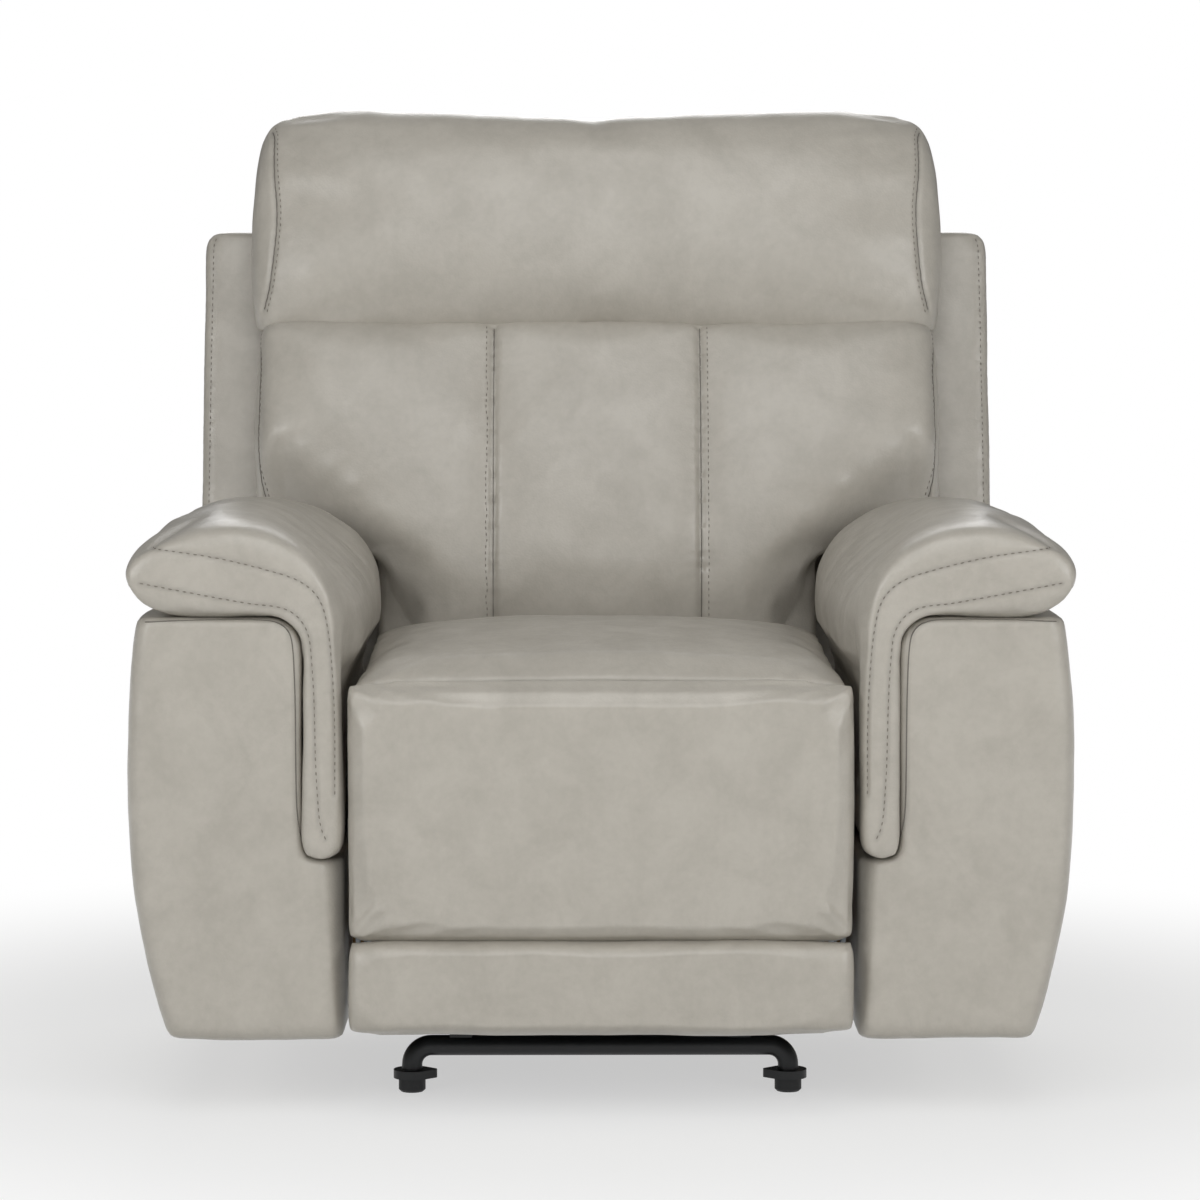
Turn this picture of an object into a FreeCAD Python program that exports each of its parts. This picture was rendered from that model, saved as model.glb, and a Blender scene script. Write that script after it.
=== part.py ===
import FreeCAD, Part
import math
import os
import re

import Sketcher
from FreeCAD import Placement, Rotation, Vector

# Glider recliner: a padded chair with a reclining back and a scissor footrest,
# hung on four swinging links above a standing steel base.
# Frame: millimetres, +Z up, the front faces -Y, origin on the floor below the middle.

# Driving sizes: name, value (millimetres or degrees).
SIZES = (
    # Arms, measured from the chair's middle plane and from the floor
    ("arm_front_y", -480),
    ("arm_bottom_z", 79),
    ("arm_top_z", 524),
    ("arm_inner_x", 268),
    ("arm_outer_x", 493),
    ("arm_foot_tuck", 40),
    ("arm_shoulder_tuck", 10),
    ("arm_belly_z", 419),
    ("arm_hip_tuck", 4),
    ("arm_hip_z", 242),
    ("arm_bevel", 22),
    ("arm_nose", 12),
    ("arm_nose_depth", 26),
    ("panel_front_y", -300),
    ("panel_rear_y", 100),
    ("panel_bottom_z", 88),
    # Arm pads
    ("pad_front_y", -492),
    ("pad_nose", 24),
    ("pad_nose_depth", 44),
    ("pad_top_z", 630),
    ("pad_overhang", 2),
    ("pad_bulge", 5),
    ("pad_leg_x", 310),
    ("pad_leg_bottom_z", 272),
    ("pad_corner", 32),
    ("pad_roll", 118),
    ("pad_back_gap", 10),
    # Seat
    ("seat_gap", 6),
    ("seat_front_y", -457),
    ("seat_rear_y", 106),
    ("seat_fullness", 0.9),
    ("seat_seam_z", 459),
    ("seat_crown_z", 490),
    ("seat_rail_front_y", -445),
    ("seat_rail_rear_y", 155),
    ("seat_rail_z", 318),
    ("seat_rail_height", 34),
    ("seat_rail_width", 43),
    ("cross_rail_depth", 40),
    ("webbing_width", 50),
    ("webbing_thick", 2),
    ("webbing_pitch", 72),
    ("rear_panel_thick", 12),
    ("rear_panel_bottom_z", 100),
    ("rear_panel_gap", 2),
    # Mechanism plates and recline
    ("plate_x", 254),
    ("plate_thick", 4),
    ("plate_bottom_z", 238),
    ("plate_corner", 22),
    ("plate_margin", 26),
    ("standoff_diameter", 18),
    ("standoff_front_y", -60),
    ("standoff_rear_y", 70),
    ("standoff_z", 338),
    ("recline_y", 185),
    ("recline_z", 300),
    ("recline_stud", 16),
    ("back_lean", 14),
    # Back, measured from the recline axis with the back upright
    ("shell_front", 20),
    ("shell_depth", 119),
    ("shell_bottom", 5),
    ("shell_edge", 9),
    ("shell_rear_edge", 24),
    ("wing_half", 484),
    ("wing_top", 668),
    ("wing_corner", 22),
    ("wing_gap", 12),
    ("crown_half", 392),
    ("crown_top", 770),
    ("crown_corner", 60),
    ("pocket_half", 350),
    ("pocket_top", 640),
    ("pocket_depth", 85),
    ("post_thick", 5),
    ("post_width", 36),
    ("post_eye", 48),
    ("post_knee_y", 82),
    ("post_knee_z", 96),
    ("post_top", 400),
    ("stile_width", 42),
    ("stile_depth", 45),
    ("back_rail_height", 50),
    ("back_strap_pitch", 96),
    ("cushion_half", 411),
    ("cushion_waist", 264),
    ("cushion_bottom", 72),
    ("cushion_shoulder", 246),
    ("cushion_top", 525),
    ("cushion_crown", 132),
    ("tuck_ridge_x", 175),
    ("tuck_ridge_z", 232),
    ("tuck_ridge_rise", 38),
    ("tuck_run", 120),
    ("tuck_middle", 34),
    ("tuck_side", 66),
    ("channel_x", 124),
    ("channel_fullness", 0.93),
    ("side_fullness", 0.5),
    ("headrest_half", 420),
    ("headrest_bottom", 528),
    ("headrest_top", 798),
    ("headrest_depth", 124),
    ("headrest_corner", 46),
    # Footrest panel
    ("rest_half", 262),
    ("rest_front_y", -500),
    ("rest_pad_back_y", -473),
    ("rest_board_thick", 12),
    ("rest_board_half", 226),
    ("rest_board_bottom_z", 104),
    ("rest_board_top_z", 440),
    ("rest_top_z", 457),
    ("rest_split_z", 187),
    ("rest_bottom_z", 88),
    ("rest_gap", 3),
    ("rest_fullness", 0.7),
    ("bracket_thick", 3),
    ("bracket_flange", 26),
    ("bracket_reach", 31),
    # Footrest scissor
    ("link_thick", 4),
    ("layer_gap", 1),
    ("link_width", 26),
    ("rivet", 12),
    ("running_fit", 0.1),
    ("rivet_stop", 0.5),
    ("scissor_arm", 200),
    ("scissor_closed", 65),
    ("scissor_open", 12),
    ("drive_z", 315),
    ("pivot_inset", 16),
    ("drive_tail", 50),
    ("front_tail", 40),
    ("lift_drop", 42),
    ("lift_back", -3),
    ("drive_tube_along", 70),
    ("drive_tube_diameter", 22),
    ("tube_wall", 2),
    # Glider base
    ("base_tube_diameter", 22),
    ("base_tube_z", 50),
    ("base_bend", 21),
    ("base_front_y", -330),
    ("base_rear_y", 235),
    ("foot_x", 203),
    ("foot_diameter", 29),
    ("foot_height", 15),
    ("foot_chamfer", 2.5),
    ("flange_thick", 9),
    ("flange_radius", 20),
    ("flange_point", 22),
    ("flange_tip", 5),
    ("base_rail_x", 138),
    ("base_rail_width", 24),
    ("base_rail_height", 25),
    ("base_rail_overrun", 16),
    ("glide_post_thick", 5),
    ("glide_post_foot", 42),
    ("glide_front_y", -190),
    ("glide_rear_y", 58),
    ("glide_upper_z", 265),
    ("glide_length", 140),
    ("glide_link_thick", 5),
    ("glide_eye", 18),
    ("glide_stud", 12),
    ("hanger_gap", 5),
    ("hanger_thick", 5),
    ("hanger_margin", 24),
    ("hanger_hole", 64),
    # Release handle in its recessed cup
    ("cup_y", -300),
    ("cup_length", 112),
    ("cup_height", 62),
    ("cup_depth", 38),
    ("cup_wall", 2.5),
    ("cup_flange", 10),
    ("cup_flange_thick", 2),
    ("paddle_length", 60),
    ("paddle_thick", 5),
    ("paddle_side_gap", 2.5),
    ("paddle_inset", 1),
    ("paddle_pin", 5),
    ("paddle_pin_end", 6.5),
)

SIDES = (("left", -1), ("right", 1))

# Where a pillow's cross-sections stand, as shares of its half width.
STATIONS = (-1.0, -0.985, -0.94, -0.86, -0.7, -0.4, 0.4, 0.7, 0.86, 0.94, 0.985, 1.0)
# The higher this power, the later a pillow's thickness falls towards its ends.
PILLOW_POWER = 8
# Extra length of a cutting tool past the solid that it cuts.
TOOL_OVERRUN = 300.0
# Turns a cylinder's own axis from Z to X.
ALONG_X = Rotation(Vector(0, 1, 0), 90)

doc = FreeCAD.newDocument("glider_recliner")
sheet = doc.addObject("Spreadsheet::Sheet", "Sizes")
for row, (alias, number) in enumerate(SIZES, start=1):
    sheet.set("A%d" % row, alias)
    sheet.set("B%d" % row, str(number))
    sheet.setAlias("B%d" % row, alias)
doc.recompute()


class Sheet:
    """Reads a driving size from the spreadsheet by its name."""

    def __getattr__(self, alias):
        return float(sheet.get(alias))


size = Sheet()
ALIASES = {alias for alias, number in SIZES}
nodes = {}


def bind(thing, **expressions):
    """Binds properties to the sheet; a double underscore stands for a dot."""

    def on_sheet(match):
        word = match.group(0)
        return "Sizes." + word if word in ALIASES else word

    for name, text in expressions.items():
        thing.setExpression(name.replace("__", "."), re.sub(r"[a-z_]+", on_sheet, text))


def keep(label, thing):
    """Names a sub-part and puts it on the list of those that are written."""
    thing.Label = label
    nodes[label] = thing
    return thing


def box(name, corner, lengths):
    """A board with its lowest corner and its three lengths given as formulas."""
    thing = doc.addObject("Part::Box", name)
    bind(thing, Length=lengths[0], Width=lengths[1], Height=lengths[2])
    bind(thing, Placement__Base__x=corner[0], Placement__Base__y=corner[1], Placement__Base__z=corner[2])
    return thing


def side_x(sign, inner, width):
    """Formula for the low X of a piece that starts at inner on either side."""
    if sign > 0:
        return inner
    return "-(%s) - (%s)" % (inner, width)


def side_box(name, sign, inner, width, corner_yz, lengths_yz):
    """A board beside the middle plane, at the same distance on either side."""
    return box(name, (side_x(sign, inner, width), *corner_yz), (width, *lengths_yz))


def bar(name, sign, inner, width, radius, y, z):
    """A round bar along X, between two distances from the middle plane."""
    thing = doc.addObject("Part::Cylinder", name)
    bind(thing, Radius=radius, Height=width)
    thing.Placement = Placement(Vector(), ALONG_X)
    bind(thing, Placement__Base__x=side_x(sign, inner, width), Placement__Base__y=y, Placement__Base__z=z)
    return thing


def joined(name, parts):
    """Several document solids joined into one."""
    thing = doc.addObject("Part::MultiFuse", name)
    thing.Shapes = parts
    thing.Refine = True
    return thing


def cut(name, base, tool):
    """One document solid with another taken out of it."""
    thing = doc.addObject("Part::Cut", name)
    thing.Base = base
    thing.Tool = tool
    return thing


def solid(name, shape):
    """A form that needs its own surfaces, such as a padded loft."""
    thing = doc.addObject("Part::Feature", name)
    thing.Shape = shape
    return thing


def back_placement():
    """Turns a piece modelled upright about the recline axis to the back's rest lean."""
    return Placement(Vector(0, size.recline_y, size.recline_z), Rotation(Vector(1, 0, 0), -size.back_lean))


def on_back(thing):
    """Leans a piece of the back, or a tool that follows the back, into place."""
    thing.Placement = back_placement().multiply(thing.Placement)
    return thing


def origin_plane(body, role):
    """One of a body's own origin planes."""
    return next(plane for plane in body.Origin.OriginFeatures if plane.Role == role)


def eye_sketch(body, name, along, radius, far_radius):
    """Two round eyes joined by tangent lines, the first eye on the body's origin."""
    sketch = body.newObject("Sketcher::SketchObject", name)
    sketch.AttachmentSupport = (origin_plane(body, "XY_Plane"), [""])
    sketch.MapMode = "FlatFace"
    axis = Vector(0, 0, 1)
    near, far, guess = 20.0, 15.0, 100.0
    quarter = math.pi / 2
    near_circle = Part.Circle(Vector(), axis, near)
    far_circle = Part.Circle(Vector(guess, 0, 0), axis, far)
    sketch.addGeometry(Part.ArcOfCircle(near_circle, quarter, 3 * quarter))
    sketch.addGeometry(Part.ArcOfCircle(far_circle, -quarter, quarter))
    sketch.addGeometry(Part.LineSegment(Vector(0, near, 0), Vector(guess, far, 0)))
    sketch.addGeometry(Part.LineSegment(Vector(0, -near, 0), Vector(guess, -far, 0)))
    for arc, arc_end, line, line_end in ((0, 1, 2, 1), (0, 2, 3, 1), (1, 2, 2, 2), (1, 1, 3, 2)):
        sketch.addConstraint(Sketcher.Constraint("Tangent", arc, arc_end, line, line_end))
    sketch.addConstraint(Sketcher.Constraint("Coincident", 0, 3, -1, 1))
    sketch.addConstraint(Sketcher.Constraint("PointOnObject", 1, 3, -1))
    for kind, items, guess_value, formula in (
        ("DistanceX", (0, 3, 1, 3), guess, along),
        ("Radius", (0,), near, radius),
        ("Radius", (1,), far, far_radius),
    ):
        index = sketch.addConstraint(Sketcher.Constraint(kind, *items, guess_value))
        bind(sketch, **{"Constraints[%d]" % index: formula})
    return sketch


def circle_sketch(body, name, circles):
    """Circles on the body's long axis: a list of (distance, diameter) formulas."""
    sketch = body.newObject("Sketcher::SketchObject", name)
    sketch.AttachmentSupport = (origin_plane(body, "XY_Plane"), [""])
    sketch.MapMode = "FlatFace"
    for number, (along, diameter) in enumerate(circles):
        guess = 10.0 + 40.0 * number
        sketch.addGeometry(Part.Circle(Vector(guess, 0, 0), Vector(0, 0, 1), guess / 2))
        sketch.addConstraint(Sketcher.Constraint("PointOnObject", number, 3, -1))
        for kind, items, value, formula in (
            ("DistanceX", (-1, 1, number, 3), guess, along),
            ("Diameter", (number,), guess, diameter),
        ):
            index = sketch.addConstraint(Sketcher.Constraint(kind, *items, value))
            bind(sketch, **{"Constraints[%d]" % index: formula})
    return sketch


def flat_link(name, along, thick, width, far_width, bores=(), studs=()):
    """A pressed steel link: eyes and tangent sides, bores through it, studs on its faces.

    Bores are (distance, diameter); studs are (distance, diameter, height above the face,
    +1 for the upper face or -1 for the lower one).
    """
    body = doc.addObject("PartDesign::Body", name)
    blank = body.newObject("PartDesign::Pad", name + "_blank")
    blank.Profile = eye_sketch(body, name + "_outline", along, "(%s) / 2" % width, "(%s) / 2" % far_width)
    bind(blank, Length=thick)
    doc.recompute()
    for number, (place, diameter, height, face) in enumerate(studs):
        stud = body.newObject("PartDesign::Pad", "%s_stud_%d" % (name, number))
        stud.Profile = circle_sketch(body, "%s_stud_circle_%d" % (name, number), [(place, diameter)])
        stud.Reversed = face < 0
        bind(stud, Length=height if face < 0 else "(%s) + (%s)" % (thick, height))
        doc.recompute()
    if bores:
        holes = body.newObject("PartDesign::Pocket", name + "_bores")
        holes.Profile = circle_sketch(body, name + "_bore_circles", bores)
        holes.Type = "ThroughAll"
        holes.Midplane = True
        doc.recompute()
    return body


def stand_link(body, x, y, z, angle):
    """Stands a link in the YZ plane: its long axis turns from +Y towards +Z by the angle."""
    upright = Rotation(Vector(1, 1, 1), 120)
    body.Placement = Placement(Vector(x, y, z), Rotation(Vector(1, 0, 0), angle).multiply(upright))
    return body


def outline(to_point, start, steps):
    """A closed wire: each step is (end,) for a line or (via, end) for an arc."""
    edges = []
    here = start
    for step in steps:
        end = step[-1]
        if len(step) == 2:
            edges.append(Part.Arc(to_point(here), to_point(step[0]), to_point(end)).toShape())
        else:
            edges.append(Part.LineSegment(to_point(here), to_point(end)).toShape())
        here = end
    return Part.Wire(edges)


def across(x):
    """Maps a cross-section's (y, z) to a point at this X."""
    return lambda point: Vector(x, *point)


def pillow(profile, low_x, high_x, low_fullness, high_fullness):
    """A padded form lofted across X, full in the middle and drawn in at both ends."""
    middle = (low_x + high_x) / 2
    half = (high_x - low_x) / 2
    wires = []
    for share in STATIONS:
        end = low_fullness if share < 0 else high_fullness
        fullness = end + (1 - end) * math.sqrt(1 - abs(share) ** PILLOW_POWER)
        start, steps = profile(fullness)
        wires.append(outline(across(middle + share * half), start, steps))
    return Part.makeLoft(wires, True, True)


# The standing base


def base_tube(label, y):
    """Cross tube whose ends bend down to a pointed flange above each foot."""
    top = size.base_tube_z
    low = size.foot_height + size.flange_thick
    bend_x = size.foot_x - size.base_bend
    diagonal = size.base_bend * math.sqrt(0.5)

    def at(point):
        return Vector(point[0], y, point[1])

    start = (-size.foot_x, low)
    path_steps = (
        ((-size.foot_x, top - size.base_bend),),
        ((-bend_x - diagonal, top - size.base_bend + diagonal), (-bend_x, top)),
        ((bend_x, top),),
        ((bend_x + diagonal, top - size.base_bend + diagonal), (size.foot_x, top - size.base_bend)),
        ((size.foot_x, low),),
    )
    path = outline(at, start, path_steps)
    radius = size.base_tube_diameter / 2
    wall = []
    for bore in (radius, radius - size.tube_wall):
        ring = Part.Wire(Part.Circle(at(start), Vector(0, 0, 1), bore).toShape())
        wall.append(path.makePipe(Part.Face(ring)))
    parts = [solid(label + "_pipe", wall[0].cut(wall[1]))]
    for side, sign in SIDES:
        flange = flat_link(
            "%s_flange_%s" % (label, side),
            "flange_point",
            "flange_thick",
            "flange_radius * 2",
            "flange_tip * 2",
        )
        turn = Rotation(Vector(0, 0, 1), 180 if sign > 0 else 0)
        flange.Placement = Placement(Vector(sign * size.foot_x, y, size.foot_height), turn)
        parts.append(flange)
    return keep(label, joined(label, parts))


def foot_glide(label, sign, y):
    """Round foot with a chamfered lower edge."""
    cone = doc.addObject("Part::Cone", label + "_chamfer")
    bind(cone, Radius1="foot_diameter / 2 - foot_chamfer", Radius2="foot_diameter / 2")
    bind(cone, Height="foot_chamfer")
    puck = doc.addObject("Part::Cylinder", label + "_puck")
    bind(puck, Radius="foot_diameter / 2", Height="foot_height - foot_chamfer")
    bind(puck, Placement__Base__z="foot_chamfer")
    for piece in (cone, puck):
        bind(piece, Placement__Base__x="%d * foot_x" % sign, Placement__Base__y=y)
    return keep(label, joined(label, [cone, puck]))


def base_rail(label, sign):
    """Side rail lying on both cross tubes."""
    top = "base_tube_z + base_tube_diameter / 2"
    start = "base_front_y - base_rail_overrun"
    length = "base_rear_y - base_front_y + 2 * base_rail_overrun"
    lengths = (length, "base_rail_height")
    return keep(label, side_box(label, sign, "base_rail_x", "base_rail_width", (start, top), lengths))


def glide_post(label, sign, y):
    """Upright plate welded to the side rail, with the stud that a glide link hangs on."""
    low = "base_tube_z + base_tube_diameter / 2 + glide_post_foot"
    height = "glide_upper_z - (%s)" % low
    reach = "layer_gap + glide_link_thick + rivet_stop"
    post = flat_link(
        label,
        height,
        "glide_post_thick",
        "2 * glide_post_foot",
        "2 * glide_eye",
        studs=[(height, "glide_stud", reach, sign)],
    )
    inner = size.base_rail_x + size.base_rail_width
    x = inner if sign > 0 else -inner - size.glide_post_thick
    foot_z = size.base_tube_z + size.base_tube_diameter / 2 + size.glide_post_foot
    return keep(label, stand_link(post, x, y, foot_z, 90))


def glide_link(label, sign, y):
    """Link that hangs from the base and carries the chair."""
    bore = "glide_stud + running_fit"
    link = flat_link(
        label,
        "glide_length",
        "glide_link_thick",
        "2 * glide_eye",
        "2 * glide_eye",
        bores=[("0", bore), ("glide_length", bore)],
    )
    inner = size.base_rail_x + size.base_rail_width + size.glide_post_thick + size.layer_gap
    x = inner if sign > 0 else -inner - size.glide_link_thick
    return keep(label, stand_link(link, x, y, size.glide_upper_z, -90))


def build_base():
    for place, y_name in (("front", "base_front_y"), ("rear", "base_rear_y")):
        base_tube("base_%s_tube" % place, getattr(size, y_name))
        for side, sign in SIDES:
            foot_glide("foot_glide_%s_%s" % (place, side), sign, y_name)
    for side, sign in SIDES:
        base_rail("base_side_rail_" + side, sign)
        for place, y in (("front", size.glide_front_y), ("rear", size.glide_rear_y)):
            glide_post("glide_post_%s_%s" % (place, side), sign, y)
            glide_link("glide_link_%s_%s" % (place, side), sign, y)


# The seat frame

HANGER_X = "base_rail_x + base_rail_width + glide_post_thick + layer_gap + glide_link_thick + hanger_gap"
SEAT_RAIL_X = HANGER_X + " + hanger_thick"


def hanger_plate(label, sign):
    """Plate under a seat rail with the two studs that stand in the glide links."""
    low = "glide_upper_z - glide_length - hanger_margin"
    top = "seat_rail_z + seat_rail_height"
    first = "glide_front_y - hanger_margin"
    length = "glide_rear_y - glide_front_y + 2 * hanger_margin"
    lengths = (length, "%s - (%s)" % (top, low))
    plate = side_box(label + "_plate", sign, HANGER_X, "hanger_thick", (first, low), lengths)
    hole_z = "(%s + %s) / 2" % (low, top)
    holes = []
    for number, share in enumerate(("0.25", "0.75")):
        y = "%s + %s * (%s)" % (first, share, length)
        name = "%s_hole_%d" % (label, number)
        holes.append(bar(name, sign, HANGER_X, "hanger_thick", "hanger_hole / 2", y, hole_z))
    parts = [cut(label + "_holed", plate, joined(label + "_holes", holes))]
    reach = "hanger_gap + glide_link_thick + rivet_stop"
    for y in ("glide_front_y", "glide_rear_y"):
        start = "%s - (%s)" % (HANGER_X, reach)
        stud_z = "glide_upper_z - glide_length"
        parts.append(bar(label + "_stud_" + y, sign, start, reach, "glide_stud / 2", y, stud_z))
    return keep(label, joined(label, parts))


def build_seat_frame():
    length = "seat_rail_rear_y - seat_rail_front_y"
    for side, sign in SIDES:
        hanger_plate("hanger_plate_" + side, sign)
        rail = side_box(
            "seat_side_rail_" + side,
            sign,
            SEAT_RAIL_X,
            "seat_rail_width",
            ("seat_rail_front_y", "seat_rail_z"),
            (length, "seat_rail_height"),
        )
        keep("seat_side_rail_" + side, rail)
        panel = side_box(
            "arm_inner_panel_" + side,
            sign,
            "plate_x + plate_thick",
            "arm_inner_x - plate_x - plate_thick",
            ("panel_front_y", "panel_bottom_z"),
            ("panel_rear_y - panel_front_y", "seat_rail_z + seat_rail_height - panel_bottom_z"),
        )
        keep("arm_inner_panel_" + side, panel)
    rails = (("front", "seat_rail_front_y"), ("rear", "seat_rail_rear_y - cross_rail_depth"))
    for place, y in rails:
        rail = box(
            "seat_%s_rail" % place,
            ("-(%s)" % SEAT_RAIL_X, y, "seat_rail_z"),
            ("2 * (%s)" % SEAT_RAIL_X, "cross_rail_depth", "seat_rail_height"),
        )
        keep("seat_%s_rail" % place, rail)
    straps = []
    for number in range(-2, 3):
        strap_x = "%d * webbing_pitch - webbing_width / 2" % number
        strap = box(
            "seat_strap_%d" % (number + 2),
            (strap_x, "seat_rail_front_y", "seat_rail_z + seat_rail_height"),
            ("webbing_width", length, "webbing_thick"),
        )
        straps.append(strap)
    keep("seat_webbing", joined("seat_webbing", straps))
    rear_panel = box(
        "rear_lower_panel",
        ("rear_panel_gap - plate_x", "seat_rail_rear_y - rear_panel_thick", "rear_panel_bottom_z"),
        ("2 * (plate_x - rear_panel_gap)", "rear_panel_thick", "seat_rail_z - rear_panel_bottom_z"),
    )
    keep("rear_lower_panel", rear_panel)


def seat_profile(fullness):
    """Side view of the seat cushion: flat below, rolled front, crowned top."""
    low = size.seat_rail_z + size.seat_rail_height + size.webbing_thick
    front, rear = size.seat_front_y, size.seat_rear_y
    seam = low + (size.seat_seam_z - low) * fullness
    crown = low + (size.seat_crown_z - low) * fullness
    roll = (crown - seam) / 2
    start = (rear, low)
    steps = (
        ((front + roll, low),),
        ((front, seam - roll),),
        ((front + roll / 2, seam + roll / 2), (front + 2 * roll, seam + roll)),
        (((front + rear) / 2, crown), (rear - 2 * roll, seam + roll)),
        ((rear - roll / 2, seam), (rear, seam - 2 * roll)),
        (start,),
    )
    return start, steps


def build_seat_cushion():
    half, edge = size.arm_inner_x - size.seat_gap, size.seat_fullness
    keep("seat_cushion", solid("seat_cushion", pillow(seat_profile, -half, half, edge, edge)))


# The arms


def arm_shell_profile(sign, y, inset, bevel):
    """Front view of an arm body: bowed outer side, and a step where the pad's leg stands."""
    bottom = size.arm_bottom_z + inset
    top = size.arm_top_z
    step = size.pad_leg_bottom_z - size.layer_gap
    leg = size.pad_leg_x
    corner = size.pad_corner
    diagonal = corner * (1 - math.sqrt(0.5))
    belly = size.arm_outer_x - inset
    foot = belly - size.arm_foot_tuck
    hip = belly - size.arm_hip_tuck
    shoulder = belly - size.arm_shoulder_tuck
    thigh = ((foot + hip) / 2 + (hip - foot) / 8, (bottom + size.arm_hip_z) / 2)
    start = (size.arm_inner_x + bevel / 4, bottom)
    steps = (
        ((foot, bottom),),
        (thigh, (hip, size.arm_hip_z)),
        ((belly, size.arm_belly_z), (shoulder, top)),
        ((leg + corner, top),),
        ((leg + diagonal, top - diagonal), (leg, top - corner)),
        ((leg, step),),
        ((size.arm_inner_x + bevel, step),),
        (start,),
    )
    return outline(lambda point: Vector(sign * point[0], y, point[1]), start, steps)


def arm_pad_profile(sign, y, inset):
    """Front view of an arm pad: a top pillow and a leg down the inner front edge."""
    inner = size.arm_inner_x + inset / 2
    low = size.pad_leg_bottom_z
    leg = size.pad_leg_x
    under = size.arm_top_z
    corner = size.pad_corner
    top = size.pad_top_z - inset
    end = size.arm_outer_x + size.pad_overhang - inset / 2
    depth = top - under
    roll = size.pad_roll
    diagonal = corner * (1 - math.sqrt(0.5))
    foot = (leg - inner) / 2
    bulge = size.pad_bulge * (1 - inset / size.pad_nose)
    start = (leg, low + foot)
    steps = (
        ((leg, under - corner),),
        ((leg + diagonal, under - diagonal), (leg + corner, under)),
        ((end - depth / 2, under),),
        ((end - depth / 8, under + depth / 6), (end, under + depth * 0.42)),
        ((end - depth / 9, under + depth * 0.66), (end - depth * 0.45, under + depth * 0.85)),
        ((inner + roll, top), (inner + roll * 0.55, top - depth * 0.08)),
        ((inner + roll * 0.1, top - depth * 0.45), (inner - bulge, top - roll)),
        ((inner, size.seat_crown_z - corner / 4),),
        ((inner, low + foot),),
        ((inner + foot * 0.3, low + foot * 0.3), (inner + foot, low)),
        ((leg - foot * 0.3, low + foot * 0.3), start),
    )
    return outline(lambda point: Vector(sign * point[0], y, point[1]), start, steps)


def behind(plane):
    """Everything behind a plane that follows the back's lean, this far from its axis."""
    reach = 2 * TOOL_OVERRUN
    tool = Part.makeBox(2 * reach, reach, 3 * reach, Vector(-reach, plane, -1.5 * reach))
    tool.Placement = back_placement()
    return tool


def cup_pocket():
    """The block that the release cup and its flange fill in the outer side of the left arm."""
    low_y = size.cup_y - size.cup_length / 2
    low_z = size.arm_belly_z - size.cup_height / 2
    rim = size.cup_flange
    length, height = size.cup_length, size.cup_height
    corner = Vector(-size.arm_outer_x, low_y, low_z)
    well = Part.makeBox(size.cup_depth, length, height, corner)
    corner = Vector(-size.arm_outer_x - TOOL_OVERRUN, low_y - rim, low_z - rim)
    recess = Part.makeBox(TOOL_OVERRUN, length + 2 * rim, height + 2 * rim, corner)
    return well.fuse(recess)


def build_arms():
    rear_y = size.recline_y + TOOL_OVERRUN
    for side, sign in SIDES:
        nose = size.arm_nose_depth
        shell_stations = (
            (size.arm_front_y, size.arm_nose, size.arm_bevel),
            (size.arm_front_y + nose * 0.15, size.arm_nose * 0.5, size.arm_bevel * 0.8),
            (size.arm_front_y + nose * 0.5, size.arm_nose * 0.13, size.arm_bevel * 0.45),
            (size.arm_front_y + nose, 0.0, 0.0),
            (rear_y, 0.0, 0.0),
        )
        wires = [arm_shell_profile(sign, *station) for station in shell_stations]
        shell = Part.makeLoft(wires, True, True).cut(behind(size.shell_front - size.wing_gap))
        if sign < 0:
            shell = shell.cut(cup_pocket())
        keep("arm_shell_" + side, solid("arm_shell_" + side, shell))

        nose = size.pad_nose_depth
        pad_stations = [(size.pad_front_y, size.pad_nose)]
        for share in (0.06, 0.22, 0.5, 1.0):
            inset = size.pad_nose * (1 - math.sqrt(1 - (1 - share) ** 2))
            pad_stations.append((size.pad_front_y + nose * share, inset))
        pad_stations.append((rear_y, 0.0))
        wires = [arm_pad_profile(sign, *station) for station in pad_stations]
        pad_rear = size.shell_front - size.cushion_crown - size.pad_back_gap
        pad = Part.makeLoft(wires, True, True).cut(behind(pad_rear))
        keep("arm_pad_" + side, solid("arm_pad_" + side, pad))


# The mechanism plates


def scissor_points(angle):
    """Pivots of the footrest scissor as (y, z) for its arms' angle below level."""
    turn = math.radians(angle)
    arm = size.scissor_arm
    pivot_y = size.rest_pad_back_y + size.rest_board_thick + size.pivot_inset
    drive_y = pivot_y + 2 * arm * math.cos(math.radians(size.scissor_closed))
    drive = Vector(0, drive_y, size.drive_z)
    down = Vector(0, -math.cos(turn), -math.sin(turn))
    up = Vector(0, -math.cos(turn), math.sin(turn))
    knee = drive + down * arm
    return {
        "drive": drive,
        "knee": knee,
        "heel": drive + down * (arm + size.drive_tail),
        "toe": knee + up * arm,
        "tail": knee - up * size.front_tail,
        "tube": drive + down * size.drive_tube_along,
    }


def guide_pivot():
    """Fixed pivot of the guide link: it keeps its distance from three places of the tail."""
    middle = (size.scissor_closed + size.scissor_open) / 2
    angles = (size.scissor_closed, middle, size.scissor_open)
    tails = [scissor_points(angle)["tail"] for angle in angles]
    return Part.Circle(*tails).Center


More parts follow.
